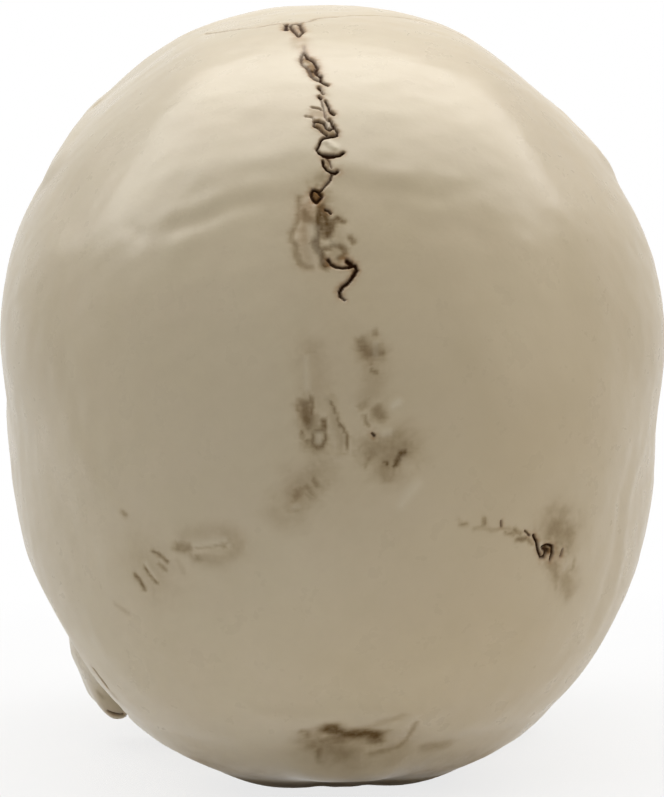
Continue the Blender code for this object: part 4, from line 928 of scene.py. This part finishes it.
def camera_frame():
    """Place and right, up and back directions of the photograph's camera, in the skull's frame."""
    level = math.cos(camera_elevation)
    back = Vector((-math.sin(camera_azimuth)*level, -math.cos(camera_azimuth)*level,
                   math.sin(camera_elevation)))
    right = (-back).cross(Vector((0, 0, 1))).normalized()
    up = right.cross(-back)
    c, s = math.cos(camera_roll), math.sin(camera_roll)
    return camera_target+back*camera_distance, right*c-up*s, right*s+up*c, back


def pixel_ray(x, y):
    at, right, up, back = camera_frame()
    way = right*(x-centre_pixel[0])/focal_pixels+up*(centre_pixel[1]-y)/focal_pixels-back
    return at, way.normalized()


def ripple(points, wave, seed):
    """Smooth unevenness of about -1 to 1 with the given wave length."""
    dice = np.random.default_rng(seed)
    total = np.zeros(len(points))
    for turn in range(9):
        way = dice.normal(size=3)
        way *= 2*math.pi/(wave*dice.uniform(0.75, 1.5)*np.linalg.norm(way))
        total += np.sin(points @ way+dice.uniform(0, 2*math.pi))
    return total/3.6


def waves(points, rows):
    """Several ripples on top of each other."""
    return sum(share*ripple(points, wave, seed) for wave, seed, share in rows)


def surface_tree(body):
    return BVHTree.FromPolygons([v.co for v in body.data.vertices], [p.vertices for p in body.data.polygons])


def spread(points, step):
    """Points along a polyline at no more than the given step."""
    rows = np.array(points, float)
    out = [rows[0]]
    for start, end in zip(rows, rows[1:]):
        count = max(1, math.ceil(np.linalg.norm(end-start)/step))
        out += [start+(end-start)*k/count for k in range(1, count+1)]
    return out


def on_skin(tree, pixel):
    """Where the photograph's pixel lies on the skull."""
    start, way = pixel_ray(*pixel)
    hit = tree.ray_cast(start, way)
    if hit[0]:
        return hit[0], abs(hit[1].dot(way))
    passing = start+way*(camera_target-start).dot(way)
    hit = tree.find_nearest(passing)
    return hit[0], least_facing


def lay_marks(tree, marks, wider=1.0, stronger=1.0):
    """Marks in pixels become paths on the skin: path, half width in metres, strength."""
    laid = []
    for half_width, strength, *flat in marks:
        rows = [on_skin(tree, pixel) for pixel in spread(np.reshape(flat, (-1, 2)), mark_step)]
        facing = max(least_facing, float(np.mean([row[1] for row in rows])))
        width = wider*half_width/pixels_per_mm*mm*(2+1/facing)/3
        laid.append((np.array([row[0] for row in rows]), width, strength*stronger))
    return laid


def lay_seams(tree):
    """The hidden seams as wiggling paths on the skin, those off the middle on both sides."""
    laid = []
    paired = [(row, side) for row in hidden_seams for side in (1, -1)]
    for (half_width, strength, wiggle, points), side in paired+[(row, 1) for row in hidden_middle_seams]:
        path = spline([mirrored(place(p), side) for p in points], 60*len(points))
        along = np.linspace(0, len(points)*9, len(path))
        sway = np.sin(along*2.3)*0.6+np.sin(along*5.1+side)*0.4
        path[:, 2] += sway*wiggle*mm
        path[:, 1] += np.sin(along*3.7+1)*wiggle*mm*0.6
        rows = [tree.find_nearest(Vector(p))[0] for p in path]
        laid.append((np.array(rows), half_width*mm, strength))
    return laid


def from_path(points, path, reach):
    """Which points lie near a path, and how far."""
    low, high = path.min(axis=0)-reach, path.max(axis=0)+reach
    near = np.where(((points > low) & (points < high)).all(axis=1))[0]
    if not len(near):
        return near, np.zeros(0)
    return near, distance_to(points[near], path)


def bell(away):
    return np.exp(-mark_fall*away**2)


def mask_of(points, laid, ragged, soft):
    """How strongly the marks cover each point: ragged is the share of the width that the edges wander."""
    mask = np.zeros(len(points))
    rough = waves(points, edge_waves)
    for path, width, strength in laid:
        near, distance = from_path(points, path, width*3)
        away = np.maximum(distance/width+rough[near]*ragged, 0)
        cover = bell(away) if soft else 1/(1+away**5)
        mask[near] = np.maximum(mask[near], strength*cover)
    return mask


def raised(points, laid):
    """How far the uneven places lift each point."""
    lift = np.zeros(len(points))
    for path, width, height in laid:
        near, distance = from_path(points, path, width*3)
        lift[near] += height*mm*bell(distance/width)
    return lift


def refine(body, laid, rounds):
    """Smaller faces along the paths."""
    bm = bmesh.new()
    bm.from_mesh(body.data)
    for turn in range(rounds):
        points = np.array([v.co for v in bm.verts])
        close = np.zeros(len(points), bool)
        for path, width, strength in laid:
            reach = width*finer_share+finer_margin
            near, distance = from_path(points, path, reach)
            close[near[distance < reach]] = True
        bm.verts.ensure_lookup_table()
        faces = [f for f in bm.faces if len(f.verts) > 3 and any(close[v.index] for v in f.verts)]
        bmesh.ops.triangulate(bm, faces=faces)
        edges = [e for e in bm.edges if close[e.verts[0].index] or close[e.verts[1].index]]
        bmesh.ops.subdivide_edges(bm, edges=edges, cuts=1)
        bm.verts.index_update()
    bmesh.ops.triangulate(bm, faces=[f for f in bm.faces if len(f.verts) > 4])
    bm.to_mesh(body.data)
    bm.free()


def averaged(values, ends, times):
    """Each value moves half way to the mean of its neighbours', several times."""
    for turn in range(times):
        values = 0.5*values+0.5*neighbour_mean(values, ends)
    return values


def hollow_mask(body):
    """How hollow the skin is at each point, for the brown that the material lays in the hollows."""
    mesh = body.data
    mesh.update()
    points, ends = positions(mesh), edge_ends(mesh)
    lift = ((by_columns(averaged, points, ends, 6)-points)*skin_normals(mesh)).sum(axis=1)
    return np.clip(averaged(lift, ends, 3)/deepest_hollow, 0, 1)


def hold(body, name, values):
    """Keeps a number for each point, which the material reads."""
    layer = body.data.attributes.new(name, "FLOAT", "POINT")
    layer.data.foreach_set("value", values.astype(np.float32))


def divide(body):
    """Smaller faces on a rounder skin."""
    finer = body.modifiers.new("finer", "SUBSURF")
    finer.levels = 1
    finer.render_levels = 1
    settle(body)


def soften(body, places):
    """Evens out some places, alike on both sides."""
    points, ends = positions(body.data), edge_ends(body.data)
    one_side = folded(points)
    for middle, reach_share, times in places:
        away = np.linalg.norm(one_side-np.array(place(middle)), axis=1)/(reach_share*skull_length)
        weight = np.where(away < 1, (1-away**4)**2, 0)[:, None]
        points = points+(by_columns(averaged, points, ends, times)-points)*weight
    move_to(body, points)


def clay_skull():
    """The cranium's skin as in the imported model, on a finer grain."""
    bm = bmesh.new()
    braincase(bm, 0, vault_around, vault_across)
    add_clay(bm, swelling_shares, bar_shares, upper_ridge_shares, upper_ridge_girth,
             upper_ridge_flatness_share)
    bar(bm, [place(p) for p in mastoid_back_shares], [mastoid_back_girth]*len(mastoid_back_shares), 0.9,
        (0, 1, 0))
    body = body_from(bm, "cranium_skin")
    fuse(body, coarse_grain)
    relax(body, clay_evenings)
    divide(body)
    brain_space = bmesh.new()
    braincase(brain_space, shell_wall)
    carve(body, body_from(brain_space, "brain_space"))
    hollow(body, "openings", (orbit_shares, orbit_width, orbit_height, orbit_squareness_share, "Y"),
           (neck_hole_shares, neck_hole_width, neck_hole_length, 2.0, "Z"),
           (ear_hole_shares, ear_hole_width, ear_hole_width, 2.0, "X"))
    for name, shares, width, height in (
            ("nose_low", nose_low_shares, nose_width, nose_low_height),
            ("passages", nose_passage_shares, nose_passage_width, nose_low_height),
            ("nose_high", nose_high_shares, nose_high_width, nose_high_height)):
        hollow(body, name, (shares, width, height, nose_squareness_share, "Y"))
    below_gum = bmesh.new()
    add_box(below_gum, Vector((-overrun, ridge_start_share*skull_length, -overrun)),
            Vector((overrun, overrun, upper_gum_share*face_drop)))
    room = knuckle_radius+joint_clearance
    swelling(below_gum, place(knuckle_share), (knuckle_half_length+joint_clearance, room, room))
    carve(body, body_from(below_gum, "below_gum"))
    late = bmesh.new()
    late.from_mesh(body.data)
    lay_bars(late, late_bar_shares)
    late.to_mesh(body.data)
    late.free()
    fuse(body, second_skin)
    relax(body, late_evenings)
    soften(body, soft_places)
    stroke(body, stroke_shares)
    return body


def stand(body, node):
    """Tips a body on to its resting places and keeps it within its node's box."""
    body.data.transform(to_world)
    points = positions(body.data)
    low, high = np.array(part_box(node))
    middle = (low+high)/2
    reach = np.maximum(abs(points.min(axis=0)-middle), abs(points.max(axis=0)-middle))
    move_to(body, middle+(points-middle)*np.minimum(1, (high-low)/2/reach))


def paint_floor_shade(body):
    """Paints shade on the skin low down near the table: full at the floor, none above the shade's height."""
    points = positions(body.data)
    heights = points[:, 2]+waves(points, floor_shade_waves)
    hold(body, "floor_shade", np.clip((floor_shade_height-heights)/floor_shade_height, 0, 1))


def smooth(body):
    body.data.polygons.foreach_set("use_smooth", np.ones(len(body.data.polygons), bool))


def fine_cranium():
    """The cranium with its marks carved in and its uneven skin."""
    body = clay_skull()
    tree = surface_tree(body)
    # Sutures, seams and cracks, and painted shadow lines at the mastoid
    dark = lay_marks(tree, dark_marks, dark_spread)+lay_seams(tree)
    haze = [row for row in brown_marks if row[0] > haze_width]
    thin = [row for row in brown_marks if row[0] <= haze_width]
    brown = lay_marks(tree, thin, brown_spread, brown_strength)
    brown += lay_marks(tree, haze, brown_spread, haze_strength)
    bumps = lay_marks(tree, relief_marks)
    # Rusty halo round the lines; round the painted shadow lines it is painted shade
    halo = lay_marks(tree, dark_marks, dark_spread*halo_spread, halo_strength)
    # Painted highlights on ridges and bumps
    pale = lay_marks(tree, painted_highlight_marks)
    pink = lay_marks(tree, pink_marks)
    refine(body, dark, 2)
    refine(body, [row for row in brown+bumps if row[1] < narrow_mark], 1)
    mesh = body.data
    mesh.update()
    points, normals = positions(mesh), skin_normals(mesh)
    dark_mask = mask_of(points, dark, 0.20, False)
    brown_mask = np.minimum(1, mask_of(points, brown, 0.28, True))
    vault = np.clip((points[:, 2]-vault_foot)/vault_fade, 0, 1)
    push = vault*vault_wave*waves(points, vault_waves)+waves(points, skin_waves)*skin_wave
    push -= dark_mask*line_groove+brown_mask*stain_dip
    push += raised(points, bumps)
    points += normals*push[:, None]
    mesh.vertices.foreach_set("co", points.ravel())
    hold(body, "dark", dark_mask)
    # Stains, and painted shade along the bottom edge
    hold(body, "stain_and_shade", brown_mask)
    for name, laid, ragged in (("rust_and_shade", halo, 0.35), ("pale", pale, 0.3), ("pink", pink, 0.3)):
        hold(body, name, mask_of(points, laid, ragged, True))
    hold(body, "hollow", hollow_mask(body))
    hold(body, "warm", np.clip(points[:, 0]/half_breadth/0.8+0.2+waves(points, warm_waves), 0, 1))
    stand(body, "cranium")
    paint_floor_shade(body)
    smooth(body)
    return body


def fine_jaw():
    """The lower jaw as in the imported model, on a finer grain."""
    bm = bmesh.new()
    add_clay(bm, jaw_swelling_shares, jaw_bar_shares, lower_ridge_shares, lower_ridge_girth,
             lower_ridge_flatness_share)
    swelling(bm, place(knuckle_share), (knuckle_half_length, knuckle_radius, knuckle_radius))
    body = body_from(bm, "mandible_skin")
    fuse(body, fine_grain)
    relax(body, jaw_evenings)
    divide(body)
    ridge_half = ridge_half_share*half_breadth
    trim(body, Vector((-ridge_half, ridge_back_share*skull_length, lower_gum_share*face_drop)),
         Vector((ridge_half, overrun, overrun)), "lower_bite")
    fuse(body, jaw_skin)
    relax(body, cut_evenings)
    soften(body, soft_chin)
    hold(body, "dark", np.zeros(len(body.data.vertices)))
    hold(body, "hollow", hollow_mask(body))
    stand(body, "mandible")
    paint_floor_shade(body)
    smooth(body)
    return body


def tooth_skin(name, kind, middle, along, side, width, depth, neck, up, crown):
    """A tooth's crown with a short root, a worn edge or cusps, and fissures."""
    a, b = rounded_square(fine_tooth_sides, tooth_squareness_share)
    rows = spline(crown_shares[kind], 16)
    levels = [(h, rows[0][1]*w, rows[0][2]*d) for h, w, d in root_rings]
    levels += [(crown*h, w, d) for h, w, d in rows]
    rings = []

    def ring(height, w, d, shrink, dip):
        u, v = a*w*width/2*shrink, b*d*depth/2*shrink
        x = middle[0]+u*along[0]-v*along[1]
        y = middle[1]+u*along[1]+v*along[0]
        return np.c_[x*side, y, neck+up*(height-dip)]

    for height, w, d in levels:
        rings.append(ring(height, w, d, 1, np.zeros(fine_tooth_sides)))
    h, w, d = rows[-1]
    (u_depth, u_width), (v_depth, v_width), pit = fissures.get(kind, ((0, 1), (0, 1), 0))
    for shrink in top_rings:
        u, v = a*shrink, b*shrink
        dip = u_depth*np.exp(-(u/u_width)**2)+v_depth*np.exp(-(v/v_width)**2)+pit*(shrink < 0.5)
        dip = np.minimum(dip, deepest_fissure)+edge_round*(shrink > 0.9)
        rings.append(ring(crown*h, w, d, shrink, dip))
    bm = bmesh.new()
    ring_body(bm, rings)
    body = body_from(bm, name)
    heights = abs(positions(body.data)[:, 2]-neck)/crown
    hold(body, "neck", np.clip(1-heights/dark_neck_share, 0, 1))
    body.data.transform(to_world)
    smooth(body)
    return body


def fine_teeth(jaw, ridge_shares, widths, depth_shares, gum, bite, overbites):
    """One jaw's teeth, each with the node that it replaces."""
    up = 1 if bite > gum else -1
    names = [row[0] for row in tooth_width_shares]
    rows = tooth_rows(ridge_shares, widths)
    teeth = []
    for (middle, along, width), name, depth_share, overbite in zip(rows, names, depth_shares, overbites):
        crown = abs(bite-gum)-piece_gap+overbite*face_drop
        kind = next(kind for kind in crown_shares if kind in name)
        for side, side_name in ((1, "right"), (-1, "left")):
            node = f"{jaw}_{side_name}_{name}"
            body = tooth_skin(node+"_crown", kind, middle, along, side, width, width*depth_share,
                              gum+up*piece_gap, up, crown)
            teeth.append((body, node))
    return teeth


def fine_screw(node):
    """A domed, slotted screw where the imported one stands."""
    low, high = [Vector(corner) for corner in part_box(node)]
    side = 1 if low.x > 0 else -1
    foot, top = (low.x, high.x) if side > 0 else (-high.x, -low.x)
    y, z = (low.y+high.y)/2, (low.z+high.z)/2
    seat = top-screw_head_height
    profile = [(foot, pin_radius*screw_tip_share), (foot+screw_chamfer, pin_radius), (seat, pin_radius),
               (seat, screw_head_radius*head_foot_share), (seat+head_bevel, screw_head_radius)]
    for angle in np.radians(dome_angles):
        profile.append((seat+head_rim+(screw_head_height-head_rim)*math.sin(angle),
                        screw_head_radius*math.cos(angle)**dome_power))
    screw = round_bar(node+"_turned", profile, y, z, side)
    ends = sorted(((top-slot_depth)*side, (top+slot_depth)*side))
    trim(screw, Vector((ends[0], y-overrun, z-slot_width/2)),
         Vector((ends[1], y+overrun, z+slot_width/2)), "slot")
    smooth(screw)
    screw.data.set_sharp_from_angle(angle=sharp_angle)
    return screw


def fine_spring(side_name, side):
    """A spring of rounder wire between its two screws."""
    top, bottom = [sum((Vector(c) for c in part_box(f"{side_name}_{jaw}_spring_screw")), Vector())/2
                   for jaw in ("upper", "lower")]
    low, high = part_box(f"{side_name}_jaw_spring")
    lane = abs(low[0]+high[0])/2
    points = spring_path(Vector((lane, top.y, top.z)), Vector((lane, bottom.y, bottom.z)))
    points = [mirrored(p, side) for p in points]
    curve = bpy.data.curves.new("spring_wire", "CURVE")
    curve.dimensions = "3D"
    curve.bevel_depth = wire_radius
    curve.bevel_resolution = 3
    curve.use_fill_caps = True
    line = curve.splines.new("POLY")
    line.points.add(len(points)-1)
    for point, place_at in zip(line.points, points):
        point.co = (*place_at, 1)
    wire = linked("spring_wire", curve)
    graph = bpy.context.evaluated_depsgraph_get()
    mesh = bpy.data.meshes.new_from_object(wire.evaluated_get(graph))
    bpy.data.objects.remove(wire)
    spring = linked(f"{side_name}_spring_coil", mesh)
    smooth(spring)
    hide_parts(f"{side_name}_jaw_spring")
    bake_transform(spring)
    return spring


class Nodes:
    """Short hand for the nodes of a material or world."""

    def __init__(self, owner, output):
        owner.use_nodes = True
        self.owner = owner
        self.tree = owner.node_tree
        self.tree.nodes.clear()
        self.out = self.add("Output"+output)

    def add(self, kind, **values):
        made = self.tree.nodes.new("ShaderNode"+kind)
        for name, value in values.items():
            setattr(made, name, value)
        return made

    def feed(self, source, socket):
        """Links a socket or sets it to a number or colour."""
        if isinstance(source, bpy.types.NodeSocket):
            self.tree.links.new(source, socket)
        elif isinstance(source, tuple):
            socket.default_value = (*source, 1)
        else:
            socket.default_value = source

    def made(self, kind, inputs, output=0, **values):
        """A new node with the given inputs; returns one of its outputs."""
        node = self.add(kind, **values)
        for name, source in inputs.items():
            self.feed(source, node.inputs[name])
        return node.outputs[output]

    def noise(self, scale, detail, rough=0.55, wander=0.0):
        at = self.made("TexCoord", {}, "Object")
        return self.made("TexNoise", {"Scale": scale, "Detail": detail, "Roughness": rough,
                                      "Distortion": wander, "Vector": at}, "Fac")

    def spread(self, source, low, high, to_low=0.0, to_high=1.0, way="SMOOTHSTEP"):
        inputs = {0: source, 1: low, 2: high, 3: to_low, 4: to_high}
        return self.made("MapRange", inputs, interpolation_type=way)

    def blend(self, base, share, colour):
        """Lays a colour over the base by a share."""
        return self.made("Mix", {0: share, 6: base, 7: colour}, 2, data_type="RGBA")

    def times(self, first, second, kind="MULTIPLY"):
        return self.made("Math", {0: first, 1: second}, operation=kind)

    def layer(self, name):
        return self.made("Attribute", {}, "Fac", attribute_name=name)

    def bump(self, height, strength, distance, under=None):
        inputs = {"Strength": strength, "Distance": distance, "Height": height}
        if under:
            inputs["Normal"] = under
        return self.made("Bump", inputs, "Normal")

    def backdrop_rays(self):
        """1 for the rays that show the background: straight to the camera, or by way of metal and glass."""
        seen = self.add("LightPath")
        either = self.times(seen.outputs["Is Camera Ray"], seen.outputs["Is Glossy Ray"], "MAXIMUM")
        return self.times(either, seen.outputs["Is Transmission Ray"], "MAXIMUM")

    def finish(self, shader):
        self.feed(shader, self.out.inputs["Surface"])
        return self.owner


def material_nodes(name):
    return Nodes(bpy.data.materials.new(name), "Material")


def bone_plastic(name, stained):
    """Cream plastic with clouds, specks and painted shade near the table; the cranium's has stains and
    sutures, a few of them painted shade, and painted highlights as well.
    """
    n = material_nodes(name)
    wide = n.spread(n.noise(26, 3, 0.5, 0.6), 0.30, 0.72)
    middle = n.spread(n.noise(95, 4, 0.6, 0.4), 0.35, 0.70)
    small = n.spread(n.noise(420, 3, 0.6), 0.30, 0.75)
    colour = n.blend(cream, wide, cream_cloud)
    colour = n.blend(colour, n.times(middle, 0.45), cream_patch)
    colour = n.blend(colour, n.times(small, 0.18), cream_speck)
    colour = n.blend(colour, n.times(n.layer("hollow"), 0.40), hollow_brown)
    if stained:
        colour = n.blend(colour, n.times(n.layer("warm"), 0.50), warm_cream)
        patchy = n.spread(n.noise(700, 3, 0.55), 0.25, 0.75, 0.82, 1.08)
        colour = n.blend(colour, n.times(n.layer("pink"), 0.75), pink_brown)
        # Stains, and painted shade along the bottom edge
        deep = n.blend(stain_and_shade_edge, n.layer("stain_and_shade"), stain_and_shade_deep)
        colour = n.blend(colour, n.times(n.layer("stain_and_shade"), patchy), deep)
        # Rusty halo round the lines; round the painted shadow lines it is painted shade
        colour = n.blend(colour, n.times(n.layer("rust_and_shade"), patchy), rust_and_shade_brown)
        # Painted highlights on ridges and bumps
        colour = n.blend(colour, n.times(n.layer("pale"), 0.70), highlight_cream)
        # Sutures and cracks, and painted shadow lines at the mastoid
        colour = n.blend(colour, n.layer("dark"), line_and_shadow_black)
    # Painted shade: darker brown low down where the skull nears the table
    colour = n.blend(colour, n.spread(n.layer("floor_shade"), 0.0, 0.9, 0.0, 0.85), floor_shade_brown)
    matt = n.spread(n.layer("floor_shade"), 0.0, 0.8)
    if stained:
        matt = n.times(matt, n.times(n.layer("dark"), n.layer("stain_and_shade"), "MAXIMUM"), "MAXIMUM")
        matt = n.times(matt, n.layer("rust_and_shade"), "MAXIMUM")
    gloss = n.spread(n.noise(160, 4, 0.6), 0.30, 0.75, 0.26, 0.38)
    facing = n.made("LayerWeight", {"Blend": 0.5}, "Facing")
    edge = n.spread(facing, 0.40, 0.92, coat_weight, coat_edge_weight)
    fine = n.bump(n.noise(1400, 3, 0.6), 0.05, 0.0003)
    return n.finish(n.made("BsdfPrincipled", {
        "Base Color": colour,
        "Roughness": n.times(gloss, n.times(matt, 0.5), "ADD"),
        "Coat Weight": n.times(n.spread(matt, 0.0, 1.0, 1.0, 0.0), edge),
        "Coat Roughness": coat_roughness,
        "Specular Tint": n.blend((1.0, 1.0, 1.0), matt, matt_tint),
        "IOR": plastic_ior,
        "Normal": n.bump(n.noise(190, 3, 0.5), 0.10, 0.0010, fine)}))


def tooth_plastic():
    """Ivory with clouds, streaks and a darker neck."""
    n = material_nodes("ivory_teeth")
    cloud = n.spread(n.noise(300, 3, 0.55), 0.30, 0.72)
    streak = n.spread(n.noise(900, 3, 0.6, 1.2), 0.40, 0.80)
    colour = n.blend(n.blend(ivory_light, cloud, ivory_shade), n.times(streak, 0.20), tooth_streak)
    return n.finish(n.made("BsdfPrincipled", {
        "Base Color": n.blend(colour, n.times(n.layer("neck"), 0.65), tooth_neck),
        "Roughness": n.spread(n.noise(500, 3), 0.3, 0.7, 0.17, 0.27),
        "Coat Weight": 0.35,
        "Coat Roughness": 0.10,
        "Normal": n.bump(n.noise(1700, 3), 0.08, 0.0003)}))


def steel(name, colour, low, high):
    """Bare steel with duller patches; low and high are its roughness."""
    n = material_nodes(name)
    dull = n.spread(n.noise(700, 4, 0.65), 0.35, 0.75)
    return n.finish(n.made("BsdfPrincipled", {
        "Base Color": n.blend(colour, n.times(dull, 0.5), tuple(0.72*c for c in colour)),
        "Metallic": 1.0,
        "Roughness": n.spread(n.noise(2400, 4, 0.6), 0.3, 0.75, low, high),
        "Normal": n.bump(n.noise(3200, 3), 0.10, 0.00015)}))


def dress(body, material, node, rides_on):
    body.data.materials.clear()
    body.data.materials.append(material)
    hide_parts(node)
    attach(body, rides_on)


def make_floor():
    """A pale floor that keeps the shadow, shows as the white backdrop and grows darker away from the skull.

    It is part see-through, like frosted glass, so that the jaw shows where it swings below the table.
    """
    bm = bmesh.new()
    bmesh.ops.create_grid(bm, x_segments=8, y_segments=8, size=floor_size)
    floor = body_from(bm, "studio_floor")
    n = material_nodes("pale_floor")
    away = n.made("VectorMath", {0: n.made("TexCoord", {}, "Object")}, "Value", operation="LENGTH")
    shown = n.backdrop_rays()
    paleness = n.times(n.spread(away, *floor_reach, *floor_paleness), shown, "MAXIMUM")
    plain = n.made("BsdfDiffuse", {"Color": paleness})
    see_through = n.times(shown, n.spread(away, *floor_whitening, *floor_clearness, way="LINEAR"))
    see_through = n.times(see_through, n.made("LightPath", {}, "Is Shadow Ray"), "MAXIMUM")
    clear = n.made("BsdfTransparent", {})
    floor.data.materials.append(n.finish(n.made("MixShader", {0: see_through, 1: plain, 2: clear})))


def make_world():
    """Faint fill light that shows as a white backdrop."""
    world = bpy.data.worlds.new("studio")
    bpy.context.scene.world = world
    n = Nodes(world, "World")
    fill = n.made("Background", {"Color": fill_colour, "Strength": fill_level})
    white = n.made("Background", {"Color": (1.0, 1.0, 1.0), "Strength": 1.0})
    n.finish(n.made("MixShader", {0: n.backdrop_rays(), 1: fill, 2: white}))


def lamp(name, at, towards, width, length, watts, colour):
    light = bpy.data.lights.new(name, "AREA")
    light.shape = "RECTANGLE"
    light.size = width
    light.size_y = length
    light.energy = watts
    light.color = colour
    body = linked(name, light)
    body.location = at
    body.rotation_euler = (Vector(towards)-Vector(at)).to_track_quat("-Z", "Y").to_euler()


def make_camera():
    at, right, up, back = camera_frame()
    turn = Matrix((right, up, back)).transposed().to_4x4()
    data = bpy.data.cameras.new("photo_camera")
    data.sensor_fit = "HORIZONTAL"
    data.sensor_width = film_width
    data.lens = focal_pixels*film_width/image_width
    data.shift_x = (image_width/2-centre_pixel[0])/image_width
    data.shift_y = (centre_pixel[1]-image_height/2)/image_width
    data.clip_start = 0.01
    data.clip_end = 20
    camera = linked("photo_camera", data)
    camera.matrix_world = to_world @ Matrix.Translation(at) @ turn
    bpy.context.scene.camera = camera


bone = bone_plastic("cream_bone_plastic", True)
jaw_bone = bone_plastic("cream_jaw_plastic", False)
ivory = tooth_plastic()
spring_metal = steel("drawn_spring_steel", (0.62, 0.62, 0.63), 0.20, 0.36)
screw_metal = steel("turned_screw_steel", (0.66, 0.65, 0.62), 0.26, 0.42)

dress(fine_cranium(), bone, "cranium", "cranium_body")
dress(fine_jaw(), jaw_bone, "mandible", "jaw_body")
bite = bite_share*face_drop
tooth_sets = (("upper", upper_ridge_shares, 1, upper_depth_shares, upper_gum_share, bite+bite_gap/2,
               overbite_shares, "cranium_body"),
              ("lower", lower_ridge_shares, 2, lower_depth_shares, lower_gum_share, bite-bite_gap/2,
               [0]*len(tooth_width_shares), "jaw_body"))
for jaw_name, ridge, width_at, depths, gum_share, edge_height, overbites, rides_on in tooth_sets:
    widths = [row[width_at] for row in tooth_width_shares]
    gum = gum_share*face_drop
    for body, node in fine_teeth(jaw_name, ridge, widths, depths, gum, edge_height, overbites):
        dress(body, ivory, node, rides_on)
for side, side_name in ((1, "right"), (-1, "left")):
    for jaw_name, rides_on in (("upper", "cranium_body"), ("lower", "jaw_body")):
        node = f"{side_name}_{jaw_name}_spring_screw"
        dress(fine_screw(node), screw_metal, node, rides_on)
    fine_spring(side_name, side).data.materials.append(spring_metal)

make_floor()
make_world()
lamp("top_softbox", (-0.12, -0.05, 1.00), (-0.12, -0.05, 0.0), 3.0, 1.04, 20.0, (1.0, 0.985, 0.96))
lamp("right_softbox", (1.00, -0.65, 0.42), (0.0, 0.0, 0.08), 0.9, 0.9, 1.2, (1.0, 0.90, 0.74))
make_camera()
bpy.context.scene.view_settings.view_transform = "Standard"
